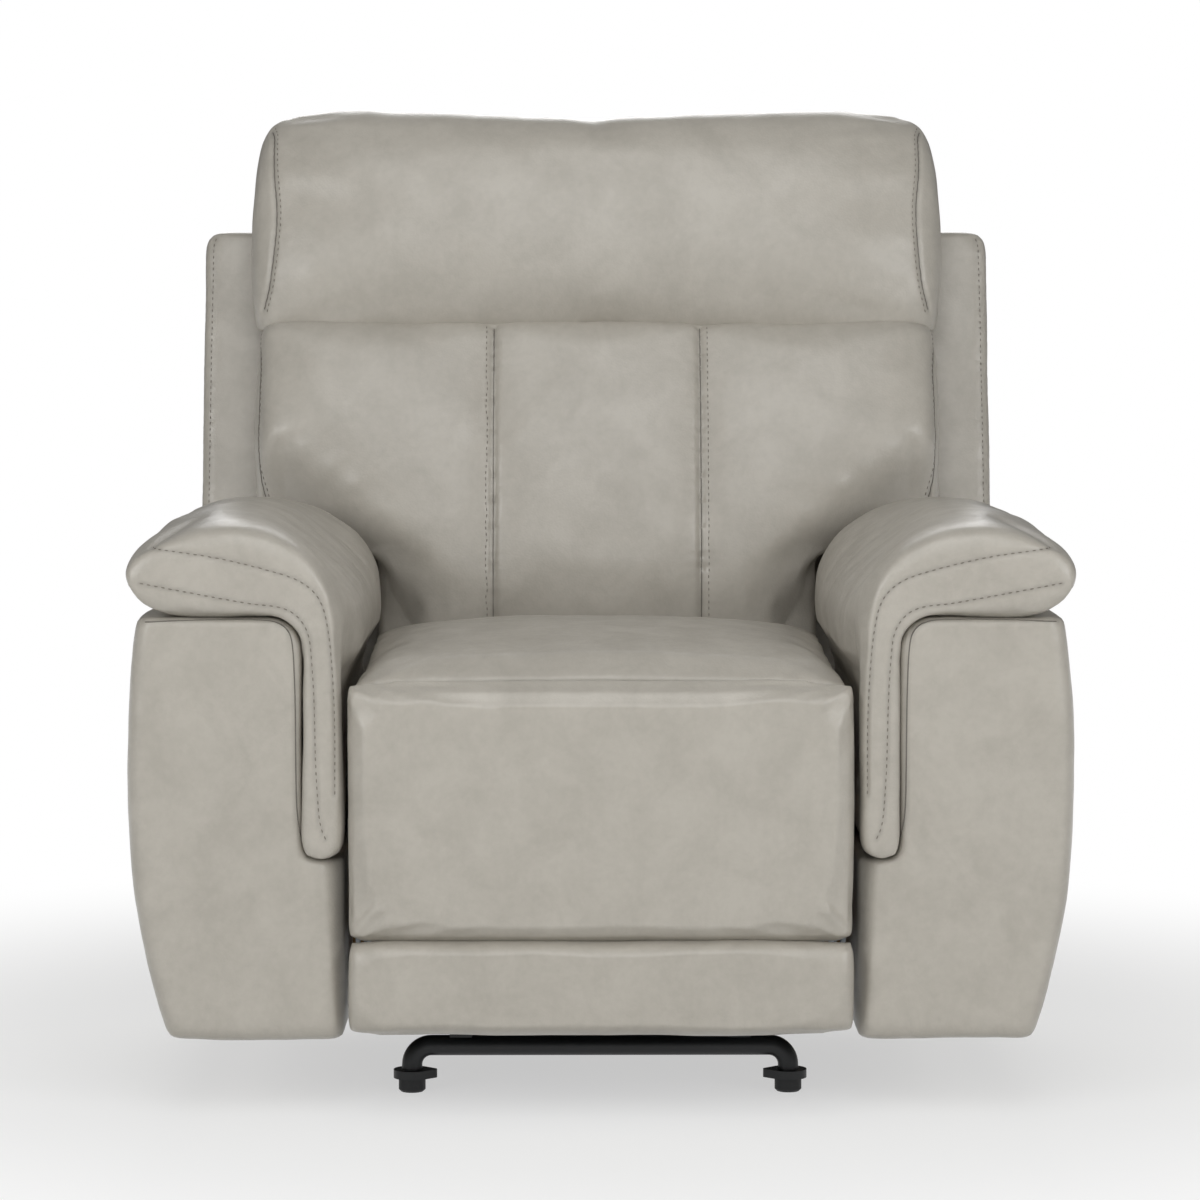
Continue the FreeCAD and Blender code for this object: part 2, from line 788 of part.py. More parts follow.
def mechanism_plate(label, sign):
    """Side plate of the mechanism with studs for the scissor and the back."""
    drive = scissor_points(size.scissor_closed)["drive"]
    guide = guide_pivot()
    front = drive.y - size.plate_margin
    rear = size.recline_y + size.plate_margin
    top = size.seat_rail_z + size.seat_rail_height - size.layer_gap
    low_x = size.plate_x if sign > 0 else -size.plate_x - size.plate_thick
    blank = doc.addObject("Part::Box", label + "_blank")
    blank.Placement.Base = Vector(low_x, front, size.plate_bottom_z)
    bind(blank, Length="plate_thick")
    blank.Width = rear - front
    blank.Height = top - size.plate_bottom_z
    doc.recompute()
    rounded = doc.addObject("Part::Fillet", label + "_rounded")
    rounded.Base = blank
    corners = []
    for number, edge in enumerate(blank.Shape.Edges, start=1):
        if abs(edge.tangentAt(edge.FirstParameter).x) > 0.9:
            corners.append((number, size.plate_corner, size.plate_corner))
    rounded.Edges = corners
    parts = [rounded]
    layer = size.link_thick + size.layer_gap
    recline = Vector(0, size.recline_y, size.recline_z)
    studs = (
        ("drive", drive, size.rivet, layer + size.rivet_stop),
        ("guide", guide, size.rivet, 3 * layer + size.rivet_stop),
        ("guide_collar", guide, 1.5 * size.rivet, 2 * layer),
        ("recline", recline, size.recline_stud, size.post_thick + 2 * size.layer_gap),
    )
    for name, centre, diameter, reach in studs:
        stud = doc.addObject("Part::Cylinder", "%s_%s_stud" % (label, name))
        stud.Radius = diameter / 2
        stud.Height = reach
        x = size.plate_x - reach if sign > 0 else -size.plate_x
        stud.Placement = Placement(Vector(x, centre.y, centre.z), ALONG_X)
        parts.append(stud)
    rail_outer = SEAT_RAIL_X + " + seat_rail_width"
    reach = "plate_x - (%s)" % rail_outer
    radius = "standoff_diameter / 2"
    for y in ("standoff_front_y", "standoff_rear_y"):
        parts.append(bar(label + "_" + y, sign, rail_outer, reach, radius, y, "standoff_z"))
    return keep(label, joined(label, parts))


# The footrest


def layer_x(sign, layer):
    """Low X of a link in one of the layers inside the mechanism plate."""
    inner = size.plate_x - layer * (size.link_thick + size.layer_gap)
    return inner if sign > 0 else -inner - size.link_thick


def lay_link(body, sign, layer, start, end):
    """Stands a scissor link in its layer, from one pivot towards another."""
    angle = math.degrees(math.atan2(end.z - start.z, end.y - start.y))
    return stand_link(body, layer_x(sign, layer), start.y, start.z, angle)


def build_scissor():
    at = scissor_points(size.scissor_closed)
    toe_pin = at["toe"]
    lift_end = toe_pin + Vector(0, size.lift_back, -size.lift_drop)
    guide = guide_pivot()
    bore = "rivet + running_fit"
    pin_reach = "layer_gap + link_thick + rivet_stop"
    for side, sign in SIDES:
        drive = flat_link(
            "drive_link_" + side,
            "scissor_arm + drive_tail",
            "link_thick",
            "link_width",
            "link_width",
            bores=[("0", bore)],
            studs=[
                ("scissor_arm", "rivet", pin_reach, -sign),
                ("scissor_arm + drive_tail", "rivet", pin_reach, sign),
            ],
        )
        keep("drive_link_" + side, lay_link(drive, sign, 1, at["drive"], at["knee"]))
        front = flat_link(
            "front_link_" + side,
            "front_tail + scissor_arm",
            "link_thick",
            "link_width",
            "link_width",
            bores=[("front_tail", bore), ("front_tail + scissor_arm", bore)],
        )
        keep("front_link_" + side, lay_link(front, sign, 2, at["tail"], at["toe"]))
        plain_links = (
            ("guide_link_", 3, guide, at["tail"], sign),
            ("lift_link_", 0, at["heel"], lift_end, -sign),
        )
        for name, layer, start, end, face in plain_links:
            length = "%f" % start.distanceToPoint(end)
            link = flat_link(
                name + side,
                length,
                "link_thick",
                "link_width",
                "link_width",
                bores=[("0", bore)],
                studs=[(length, "rivet", "rivet_stop", face)],
            )
            keep(name + side, lay_link(link, sign, layer, start, end))
        footrest_bracket("footrest_bracket_" + side, sign, toe_pin, lift_end)
    tube_end = size.plate_x - size.link_thick - size.layer_gap
    pipes = []
    outer = size.drive_tube_diameter / 2
    for name, radius in (("outer", outer), ("bore", outer - size.tube_wall)):
        pipe = doc.addObject("Part::Cylinder", "drive_tube_" + name)
        pipe.Radius = radius
        pipe.Height = 2 * tube_end
        pipe.Placement = Placement(Vector(-tube_end, at["tube"].y, at["tube"].z), ALONG_X)
        pipes.append(pipe)
    keep("drive_tube", cut("drive_tube", *pipes))


def footrest_bracket(label, sign, toe_pin, lift_end):
    """Angle bracket on the board's back with the pins of the front and lift links."""
    back_y = size.rest_pad_back_y + size.rest_board_thick
    low = lift_end.z - size.link_width
    high = toe_pin.z + size.link_width
    x = layer_x(sign, 3)
    leaf = doc.addObject("Part::Box", label + "_leaf")
    bind(leaf, Length="link_thick", Width="bracket_reach")
    leaf.Height = high - low
    leaf.Placement.Base = Vector(x, back_y, low)
    flange = doc.addObject("Part::Box", label + "_flange")
    bind(flange, Length="bracket_flange", Width="bracket_thick")
    flange.Height = high - low
    flange_x = x - size.bracket_flange if sign > 0 else x + size.link_thick
    flange.Placement.Base = Vector(flange_x, back_y, low)
    parts = [leaf, flange]
    layer = size.link_thick + size.layer_gap
    toe_reach = layer + size.link_thick + size.rivet_stop
    lift_reach = 3 * layer - 2 * size.rivet_stop
    for name, centre, reach in (("toe", toe_pin, toe_reach), ("lift", lift_end, lift_reach)):
        pin = doc.addObject("Part::Cylinder", "%s_%s_pin" % (label, name))
        pin.Radius = size.rivet / 2
        pin.Height = reach
        pin_x = x if sign > 0 else x + size.link_thick - reach
        pin.Placement = Placement(Vector(pin_x, centre.y, centre.z), ALONG_X)
        parts.append(pin)
    return keep(label, joined(label, parts))


def rest_pad_profile(low, high):
    """Side view of a footrest pad between two heights, bulging to the front."""

    def profile(fullness):
        back = size.rest_pad_back_y
        thick = (back - size.rest_front_y) * fullness
        trim = (1 - fullness) * (back - size.rest_front_y)
        bottom, top = low + trim, high - trim
        roll = thick / 3
        start = (back, bottom)
        steps = (
            ((back, top),),
            ((back - thick * 0.5, top - roll * 0.25), (back - thick * 0.85, top - roll)),
            ((back - thick, (bottom + top) / 2), (back - thick * 0.85, bottom + roll)),
            ((back - thick * 0.5, bottom + roll * 0.25), start),
        )
        return start, steps

    return profile


def build_footrest_panel():
    board = box(
        "footrest_board",
        ("-rest_board_half", "rest_pad_back_y", "rest_board_bottom_z"),
        ("2 * rest_board_half", "rest_board_thick", "rest_board_top_z - rest_board_bottom_z"),
    )
    keep("footrest_board", board)
    pads = (
        ("footrest_upper_pad", size.rest_split_z + size.rest_gap / 2, size.rest_top_z),
        ("footrest_lower_pad", size.rest_bottom_z, size.rest_split_z - size.rest_gap / 2),
    )
    half, edge = size.rest_half, size.rest_fullness
    for label, low, high in pads:
        pad = pillow(rest_pad_profile(low, high), -half, half, edge, edge)
        keep(label, solid(label, pad))


# The back


def shell_profile(y, inset):
    """Rear view of the outer back: wings up to the shoulders, a narrower crown above."""
    wing = size.wing_half - inset
    crown = size.crown_half - inset
    low = size.shell_bottom
    shoulder = size.wing_top - inset
    top = size.crown_top - inset
    small, large = size.wing_corner, size.crown_corner
    small_cut = small * (1 - math.sqrt(0.5))
    large_cut = large * (1 - math.sqrt(0.5))
    start = (-wing, low)
    steps = (
        ((wing, low),),
        ((wing, shoulder - small),),
        ((wing - small_cut, shoulder - small_cut), (wing - small, shoulder)),
        ((crown, shoulder),),
        ((crown, top - large),),
        ((crown - large_cut, top - large_cut), (crown - large, top)),
        ((-crown + large, top),),
        ((-crown + large_cut, top - large_cut), (-crown, top - large)),
        ((-crown, shoulder),),
        ((-wing + small, shoulder),),
        ((-wing + small_cut, shoulder - small_cut), (-wing, shoulder - small)),
        (start,),
    )
    return outline(lambda point: Vector(point[0], y, point[1]), start, steps)


def build_back_shell():
    front, rear = size.shell_front, size.shell_front + size.shell_depth
    edge, rear_edge = size.shell_edge, size.shell_rear_edge
    stations = (
        (front, edge),
        (front + edge * 0.3, edge * 0.3),
        (front + edge, 0.0),
        (rear - rear_edge, 0.0),
        (rear - rear_edge * 0.3, rear_edge * 0.3),
        (rear, rear_edge),
    )
    shell = Part.makeLoft([shell_profile(*station) for station in stations], True, True)
    pocket = Part.makeBox(
        2 * size.pocket_half,
        size.pocket_depth,
        size.pocket_top,
        Vector(-size.pocket_half, front, 0),
    )
    keep("back_outer_shell", on_back(solid("back_outer_shell", shell.cut(pocket))))


def build_back_frame():
    rear = size.shell_front + size.pocket_depth
    low = 2 * size.shell_bottom
    inner = size.plate_x - size.layer_gap - size.post_thick
    for side, sign in SIDES:
        x = inner if sign > 0 else -inner - size.post_thick
        knee = Vector(0, size.post_knee_y, size.post_knee_z)
        angle = math.degrees(math.atan2(knee.z, knee.y))
        reach = "sqrt(post_knee_y ^ 2 + post_knee_z ^ 2)"
        foot = flat_link(
            "back_post_foot_" + side,
            reach,
            "post_thick",
            "post_eye",
            "post_width",
            bores=[("0", "recline_stud + running_fit")],
        )
        stand_link(foot, x, 0, 0, angle)
        upright = flat_link(
            "back_post_upright_" + side,
            "post_top - post_knee_z",
            "post_thick",
            "post_width",
            "post_width",
        )
        stand_link(upright, x, knee.y, knee.z, 90)
        keep("back_post_" + side, on_back(joined("back_post_" + side, [foot, upright])))
        stile_x = inner - size.stile_width if sign > 0 else -inner
        stile = doc.addObject("Part::Box", "back_stile_" + side)
        bind(stile, Length="stile_width", Width="stile_depth", Height="pocket_top - 2 * shell_bottom")
        stile.Placement.Base = Vector(stile_x, rear - size.stile_depth, low)
        keep("back_stile_" + side, on_back(stile))
    half = "plate_x - layer_gap - post_thick - stile_width"
    for place, z in (("bottom", low), ("top", size.pocket_top - size.back_rail_height)):
        rail = doc.addObject("Part::Box", "back_%s_rail" % place)
        bind(rail, Length="2 * (%s)" % half, Width="stile_depth", Height="back_rail_height")
        rail.Placement.Base = Vector(-(inner - size.stile_width), rear - size.stile_depth, z)
        keep("back_%s_rail" % place, on_back(rail))
    straps = []
    for number in range(1, 6):
        strap = doc.addObject("Part::Box", "back_strap_%d" % number)
        bind(strap, Length="2 * (%s + stile_width - layer_gap)" % half)
        bind(strap, Width="webbing_thick", Height="webbing_width")
        y = rear - size.stile_depth - size.webbing_thick
        strap.Placement.Base = Vector(size.layer_gap - inner, y, low + number * size.back_strap_pitch)
        straps.append(strap)
    keep("back_webbing", on_back(joined("back_webbing", straps)))


def back_cushion_profile(fullness):
    """Side view of the back cushion, flat behind and crowned in front."""
    back = size.shell_front
    thick = size.cushion_crown * fullness
    trim = (1 - fullness) * size.cushion_crown / 4
    bottom, top = size.cushion_bottom + trim, size.cushion_top - trim
    roll = thick / 6
    start = (back, bottom + roll)
    steps = (
        ((back, top - roll),),
        ((back - thick * 0.4, top), (back - thick * 0.82, top - roll)),
        ((back - thick, (bottom + top) / 2), (back - thick * 0.82, bottom + 2 * roll)),
        ((back - thick * 0.4, bottom), start),
    )
    return start, steps


def tuck_wedge(depth, low_x, high_x, ridge):
    """What is taken off the cushion's front below a ridge, so that it turns under there."""
    front = size.shell_front - size.cushion_crown
    ahead, below = front - TOOL_OVERRUN, -2 * TOOL_OVERRUN
    start = (ahead, 0)
    corners = ((front, 0), (front + depth, -size.tuck_run), (front + depth, below), (ahead, below), start)
    face = Part.Face(outline(across(low_x), start, [(corner,) for corner in corners]))
    wedge = face.extrude(Vector(high_x - low_x, 0, 0))
    wedge.Placement = ridge
    return wedge


def build_back_cushion():
    """Three pillows side by side; the outer two step in where they pass between the arms."""
    channel, edge = size.channel_fullness, size.side_fullness
    half, seam = size.cushion_half, size.channel_x
    cushion = pillow(back_cushion_profile, -seam, seam, channel, channel)
    for low, high, low_full, high_full in ((-half, -seam, edge, channel), (seam, half, channel, edge)):
        cushion = cushion.fuse(pillow(back_cushion_profile, low, high, low_full, high_full))
    for side, sign in SIDES:
        low = size.cushion_waist if sign > 0 else -size.cushion_waist - TOOL_OVERRUN
        corner = Vector(low, size.shell_front - TOOL_OVERRUN, size.cushion_shoulder - 2 * TOOL_OVERRUN)
        cushion = cushion.cut(Part.makeBox(TOOL_OVERRUN, 2 * TOOL_OVERRUN, 2 * TOOL_OVERRUN, corner))
        rise = Rotation(Vector(0, 1, 0), -sign * size.tuck_ridge_rise)
        ridge = Placement(Vector(sign * size.tuck_ridge_x, 0, size.tuck_ridge_z), rise)
        reach = sorted((0.0, sign * TOOL_OVERRUN))
        cushion = cushion.cut(tuck_wedge(size.tuck_side, *reach, ridge))
    level = Placement(Vector(0, 0, size.tuck_ridge_z), Rotation())
    cushion = cushion.cut(tuck_wedge(size.tuck_middle, -TOOL_OVERRUN, TOOL_OVERRUN, level))
    keep("back_cushion", on_back(solid("back_cushion", cushion.removeSplitter())))


def headrest_profile(fullness):
    """Side view of the headrest pillow: round on top, full in front, tucked in below."""
    back = size.shell_front
    thick = size.headrest_depth * fullness
    trim = 2 * (1 - fullness) * size.headrest_corner
    bottom, top = size.headrest_bottom + trim / 3, size.headrest_top - trim
    height = top - bottom
    start = (back, bottom + height * 0.06)
    steps = (
        ((back, top - height * 0.16),),
        ((back - thick * 0.12, top - height * 0.04), (back - thick * 0.42, top)),
        ((back - thick * 0.86, top - height * 0.14), (back - thick, top - height * 0.45)),
        ((back - thick * 0.95, bottom + height * 0.2), (back - thick * 0.7, bottom)),
        ((back - thick * 0.3, bottom + height * 0.01), start),
    )
    return start, steps


def build_headrest():
    half, edge = size.headrest_half, size.side_fullness
    cushion = pillow(headrest_profile, -half, half, edge, edge)
    keep("headrest_cushion", on_back(solid("headrest_cushion", cushion)))


# The release handle

PADDLE_Y = "cup_y - cup_length / 2 + cup_wall + paddle_inset"


def build_release():
    low_z = "arm_belly_z - cup_height / 2"
    deep = "cup_depth + cup_flange_thick - cup_wall"
    body = box(
        "release_cup_body",
        ("-arm_outer_x", "cup_y - cup_length / 2", low_z),
        ("cup_depth", "cup_length", "cup_height"),
    )
    flange = box(
        "release_cup_flange",
        ("-arm_outer_x - cup_flange_thick", "cup_y - cup_length / 2 - cup_flange", low_z + " - cup_flange"),
        ("cup_flange_thick", "cup_length + 2 * cup_flange", "cup_height + 2 * cup_flange"),
    )
    hollow = box(
        "release_cup_hollow",
        ("-arm_outer_x - cup_flange_thick", "cup_y - cup_length / 2 + cup_wall", low_z + " + cup_wall"),
        (deep, "cup_length - 2 * cup_wall", "cup_height - 2 * cup_wall"),
    )
    pin_x = "-arm_outer_x + paddle_inset + paddle_thick / 2"
    pin_y = PADDLE_Y + " + paddle_pin_end"
    socket = doc.addObject("Part::Cylinder", "release_cup_socket")
    bind(socket, Radius="(paddle_pin + running_fit) / 2", Height="cup_height")
    pin = doc.addObject("Part::Cylinder", "release_pin")
    bind(pin, Radius="paddle_pin / 2", Height="cup_height - cup_wall")
    for piece, z in ((socket, low_z), (pin, low_z + " + cup_wall / 2")):
        bind(piece, Placement__Base__x=pin_x, Placement__Base__y=pin_y, Placement__Base__z=z)
    space = joined("release_cup_space", [hollow, socket])
    keep("release_cup", cut("release_cup", joined("release_cup_block", [body, flange]), space))
    plate = box(
        "release_paddle",
        ("-arm_outer_x + paddle_inset", PADDLE_Y, low_z + " + cup_wall + paddle_side_gap"),
        ("paddle_thick", "paddle_length", "cup_height - 2 * cup_wall - 2 * paddle_side_gap"),
    )
    keep("release_handle", joined("release_handle", [plate, pin]))


def write_parts():
    """Checks every object, then writes each sub-part under its own name."""
    doc.recompute()
    for thing in doc.Objects:
        if "Invalid" in thing.State or "Error" in thing.State:
            raise RuntimeError("%s failed to build" % thing.Label)
    for label, thing in nodes.items():
        shape = thing.Shape
        if shape.isNull() or not shape.isValid() or shape.Volume <= 0:
            raise RuntimeError("%s has no valid solid" % label)
    os.makedirs("parts", exist_ok=True)
    for label, thing in nodes.items():
        thing.Shape.exportStep("parts/%s.step" % label)
    print("%d sub-parts written" % len(nodes))


build_base()
build_seat_frame()
build_seat_cushion()
build_arms()
for side_name, side_sign in SIDES:
    mechanism_plate("mechanism_plate_" + side_name, side_sign)
build_scissor()
build_footrest_panel()
build_back_shell()
build_back_frame()
build_back_cushion()
build_headrest()
build_release()
write_parts()
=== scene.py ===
"""Glider recliner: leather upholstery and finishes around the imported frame."""

import logging
import math
from dataclasses import dataclass
from enum import Enum
from typing import Any, Callable, Optional, Sequence

import bmesh
import bpy
import numpy as np
from mathutils import Matrix, Vector
from mathutils.bvhtree import BVHTree
from mathutils.kdtree import KDTree


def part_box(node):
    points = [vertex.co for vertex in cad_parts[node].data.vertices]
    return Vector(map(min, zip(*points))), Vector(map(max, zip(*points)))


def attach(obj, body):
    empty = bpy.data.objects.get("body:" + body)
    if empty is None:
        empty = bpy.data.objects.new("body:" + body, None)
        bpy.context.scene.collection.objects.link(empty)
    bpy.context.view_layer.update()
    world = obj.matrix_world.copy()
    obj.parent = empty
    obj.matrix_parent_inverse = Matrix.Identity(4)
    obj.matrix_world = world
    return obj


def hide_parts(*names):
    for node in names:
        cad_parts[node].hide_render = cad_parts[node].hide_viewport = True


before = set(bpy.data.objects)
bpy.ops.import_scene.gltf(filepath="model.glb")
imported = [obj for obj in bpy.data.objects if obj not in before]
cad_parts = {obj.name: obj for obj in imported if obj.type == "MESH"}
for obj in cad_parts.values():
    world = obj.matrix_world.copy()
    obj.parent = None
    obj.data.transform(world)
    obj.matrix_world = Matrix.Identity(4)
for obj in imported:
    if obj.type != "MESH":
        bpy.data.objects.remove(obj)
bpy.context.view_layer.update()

logging.basicConfig(level=logging.INFO, format="%(message)s")
log = logging.getLogger("glider_recliner")

MM = 0.001
# The back leans by this angle about the recline axis, given as (y, z) in millimetres.
LEAN = math.radians(14.0)
RECLINE_AXIS = (185.0, 300.0)
SIDES = (("left", -1.0), ("right", 1.0))
WHITE = (1.0, 1.0, 1.0, 1.0)
# Metres: how far a seam is felt, and where its draw, its gathers and its painted shade fade out.
SEAM_REACH = 0.03
DRAW_FADE = 0.012
GATHER_FADE = 0.010
SEAM_SHADE_FADE = 0.0022
# How far the painted shade darkens the leather at a seam's line, as a share.
SEAM_SHADE_SHARE = 0.35
# Millimetres: the step of a seam's points, the pitch of its gathers and how slowly they drift.
SEAM_STEP = 2.0
GATHER_PITCH = 13.0
GATHER_DRIFT = 60.0
# Millimetres between the long and between the short swells of slack leather.
LONG_SWELL, SHORT_SWELL = 130.0, 45.0
SWELL_FRAMES = 20
# Metres: points closer than this are one, and a length below the second counts as none.
MERGE = 0.0002
TINY = 1e-9
CLOTH = {
    "quality": 3,
    "mass": 0.3,
    "tension_stiffness": 12.0,
    "compression_stiffness": 12.0,
    "bending_stiffness": 0.6,
    "use_pressure": True,
}
# Sewn lines on the front of an arm, from its outer side to its foot: (x, z) in millimetres.
PAD_UPPER_LINE = (
    (466.0, 596.0), (396.0, 586.0), (335.0, 571.0), (309.0, 561.0), (292.0, 545.0),
    (284.0, 522.0), (279.0, 481.0), (276.0, 416.0), (276.0, 340.0),
)
PAD_LOWER_LINE = (
    (476.0, 560.0), (428.0, 551.0), (362.0, 539.0), (335.0, 536.0), (317.0, 529.0), (307.0, 517.0),
    (301.0, 500.0), (297.0, 442.0), (295.0, 363.0), (291.0, 310.0), (285.0, 294.0),
)
PANEL_WELT_LINE = (
    (474.0, 519.0), (420.0, 521.0), (350.0, 521.0), (330.0, 516.0),
    (320.0, 500.0), (317.0, 440.0), (316.0, 330.0), (311.0, 290.0),
)
Point = tuple[float, float, float]
Socket = bpy.types.NodeSocket


def linear(hex_colour: str) -> tuple[float, float, float, float]:
    """Turns an sRGB hex colour into linear light.

    Args:
        hex_colour: Six hex digits after a hash sign.

    Returns:
        Red, green, blue and alpha.
    """
    channels = [int(hex_colour[i : i + 2], 16) / 255 for i in (1, 3, 5)]
    light = [c / 12.92 if c <= 0.04045 else ((c + 0.055) / 1.055) ** 2.4 for c in channels]
    return (light[0], light[1], light[2], 1.0)


def per_metre(millimetres: float) -> float:
    """Texture scale whose features are about this many millimetres apart."""
    return 1.0 / (millimetres * MM)


def rise(values: np.ndarray, start: float, end: float) -> np.ndarray:
    """Shares that go from 0 at the start to 1 at the end, and stay level outside."""
    return np.clip((values - start) / (end - start), 0.0, 1.0)


def add_node(
    tree: bpy.types.NodeTree, kind: str, inputs: Optional[dict] = None, **settings: Any
) -> bpy.types.Node:
    """Adds a node with its settings, values and links.

    Args:
        tree: The tree that gets the node.
        kind: The node's type name.
        inputs: Socket name or number to a value, or to an output socket that is linked to it.
        **settings: The node's own properties.

    Returns:
        The new node.
    """
    node = tree.nodes.new(kind)
    for name, value in settings.items():
        setattr(node, name, value)
    for key, value in (inputs or {}).items():
        socket = node.inputs[key]
        if isinstance(value, Socket):
            tree.links.new(value, socket)
        else:
            socket.default_value = value
    return node


def on_back(point: Point) -> Point:
    """Moves a point from the upright back's own frame to the leaning back, in millimetres."""
    x, y, z = point
    cos, sin = math.cos(LEAN), math.sin(LEAN)
    return (x, RECLINE_AXIS[0] + y * cos + z * sin, RECLINE_AXIS[1] - y * sin + z * cos)


def off_back(co: np.ndarray) -> np.ndarray:
    """Gives points in the upright back's own frame, in millimetres.

    Args:
        co: Points in metres, in the shared frame.

    Returns:
        The same points about the recline axis with the lean taken out.
    """
    out = co / MM
    y, z = out[:, 1] - RECLINE_AXIS[0], out[:, 2] - RECLINE_AXIS[1]
    cos, sin = math.cos(LEAN), math.sin(LEAN)
    out[:, 1], out[:, 2] = y * cos - z * sin, y * sin + z * cos
    return out


def lean_back(own: np.ndarray) -> np.ndarray:
    """Undoes off_back: rows in the upright back's frame become points in the shared frame."""
    cos, sin = math.cos(LEAN), math.sin(LEAN)
    y = RECLINE_AXIS[0] + own[:, 1] * cos + own[:, 2] * sin
    z = RECLINE_AXIS[1] - own[:, 1] * sin + own[:, 2] * cos
    return np.stack([own[:, 0], y, z], axis=1) * MM


# Finishes


class Grain(Enum):
    """The way that the fibres of a board run."""

    ALONG_X = (1.0, 12.0, 12.0)
    ALONG_Y = (12.0, 1.0, 12.0)
    ALONG_Z = (12.0, 12.0, 1.0)


def new_material(name: str) -> tuple[bpy.types.NodeTree, bpy.types.Node, Socket]:
    """Starts a material.

    Args:
        name: The real material's name.

    Returns:
        Its tree, its shader and the Object coordinates.
    """
    material = bpy.data.materials.new(name)
    material.use_nodes = True
    tree = material.node_tree
    tree.nodes.clear()
    shader = add_node(tree, "ShaderNodeBsdfPrincipled")
    add_node(tree, "ShaderNodeOutputMaterial", {"Surface": shader.outputs[0]})
    place = add_node(tree, "ShaderNodeTexCoord")
    return tree, shader, place.outputs["Object"]


@dataclass(frozen=True)
class Leather:
    """Corrected-grain cowhide, tumbled and finished semi-gloss: cloudy colour and a fine pebble."""

    name: str = "leather_semi_gloss"
    light: str = "#B8B3A9"
    dark: str = "#ADA89E"
    # Colour of the painted shade in the seams' grooves.
    crease_shade: str = "#6E6962"
    cloud_mm: float = 55.0
    fleck_mm: float = 9.0
    # The real pebble is about 0.8 mm; it is drawn coarser so that it shows.
    pebble_mm: float = 2.4
    roughness: tuple[float, float] = (0.29, 0.44)

    def build(self) -> bpy.types.Material:
        """Builds the material.

        Returns:
            The leather, which reads a point attribute of each piece for painted shade along its seams.
        """
        tree, shader, place = new_material(self.name)
        cloud = add_node(
            tree,
            "ShaderNodeTexNoise",
            {
                "Vector": place,
                "Scale": per_metre(self.cloud_mm),
                "Detail": 5.0,
                "Roughness": 0.62,
                "Distortion": 0.5,
            },
        )
        fleck = add_node(
            tree,
            "ShaderNodeTexNoise",
            {"Vector": place, "Scale": per_metre(self.fleck_mm), "Detail": 3.0, "Roughness": 0.6},
        )
        blend = add_node(
            tree,
            "ShaderNodeMix",
            {0: 0.3, 2: cloud.outputs[0], 3: fleck.outputs[0]},
            data_type="FLOAT",
        )
        ramp = add_node(tree, "ShaderNodeValToRGB", {0: blend.outputs[0]})
        ramp.color_ramp.elements[0].position = 0.36
        ramp.color_ramp.elements[0].color = linear(self.dark)
        ramp.color_ramp.elements[1].position = 0.62
        ramp.color_ramp.elements[1].color = linear(self.light)
        # Painted shade: the leather turns towards the dark colour close to each seam.
        seam = add_node(tree, "ShaderNodeAttribute", attribute_name="crease_shade")
        seam_shade = add_node(
            tree,
            "ShaderNodeMix",
            {0: seam.outputs["Fac"], 6: ramp.outputs[0], 7: linear(self.crease_shade)},
            data_type="RGBA",
        )
        tree.links.new(seam_shade.outputs[2], shader.inputs["Base Color"])
        polish = add_node(
            tree,
            "ShaderNodeMapRange",
            {0: blend.outputs[0], 1: 0.3, 2: 0.7, 3: self.roughness[1], 4: self.roughness[0]},
        )
        tree.links.new(polish.outputs[0], shader.inputs["Roughness"])
        pebble = add_node(
            tree,
            "ShaderNodeTexVoronoi",
            {"Vector": place, "Scale": per_metre(self.pebble_mm), "Randomness": 1.0},
            feature="SMOOTH_F1",
        )
        fine = add_node(
            tree,
            "ShaderNodeTexNoise",
            {"Vector": place, "Scale": per_metre(self.pebble_mm * 3.0), "Detail": 4.0},
        )
        height = add_node(
            tree,
            "ShaderNodeMix",
            {0: 0.45, 2: pebble.outputs[0], 3: fine.outputs[0]},
            data_type="FLOAT",
        )
        bump = add_node(
            tree,
            "ShaderNodeBump",
            {"Strength": 0.22, "Distance": 0.0012, "Height": height.outputs[0]},
        )
        tree.links.new(bump.outputs[0], shader.inputs["Normal"])
        shader.inputs["IOR"].default_value = 1.5
        shader.inputs["Coat Weight"].default_value = 0.22
        shader.inputs["Coat Roughness"].default_value = 0.3
        return bpy.data.materials[self.name]


@dataclass(frozen=True)
class PowderCoat:
    """Black polyester powder baked on steel: dark satin with a slight orange peel."""

    name: str = "powder_coat_black"
    colour: str = "#151617"
    worn: str = "#26282A"
    dust_mm: float = 28.0
    peel_mm: float = 1.6
    roughness: float = 0.42

    def build(self) -> bpy.types.Material:
        """Builds the material."""
        tree, shader, place = new_material(self.name)
        dust = add_node(
            tree,
            "ShaderNodeTexNoise",
            {"Vector": place, "Scale": per_metre(self.dust_mm), "Detail": 5.0, "Roughness": 0.65},
        )
        tint = add_node(
            tree,
            "ShaderNodeMix",
            {0: dust.outputs[0], 6: linear(self.colour), 7: linear(self.worn)},
            data_type="RGBA",
        )
        tree.links.new(tint.outputs[2], shader.inputs["Base Color"])
        peel = add_node(
            tree,
            "ShaderNodeTexNoise",
            {"Vector": place, "Scale": per_metre(self.peel_mm), "Detail": 2.0},
        )
        bump = add_node(
            tree,
            "ShaderNodeBump",
            {"Strength": 0.2, "Distance": 0.0004, "Height": peel.outputs[0]},
        )
        tree.links.new(bump.outputs[0], shader.inputs["Normal"])
        shader.inputs["Roughness"].default_value = self.roughness
        return bpy.data.materials[self.name]


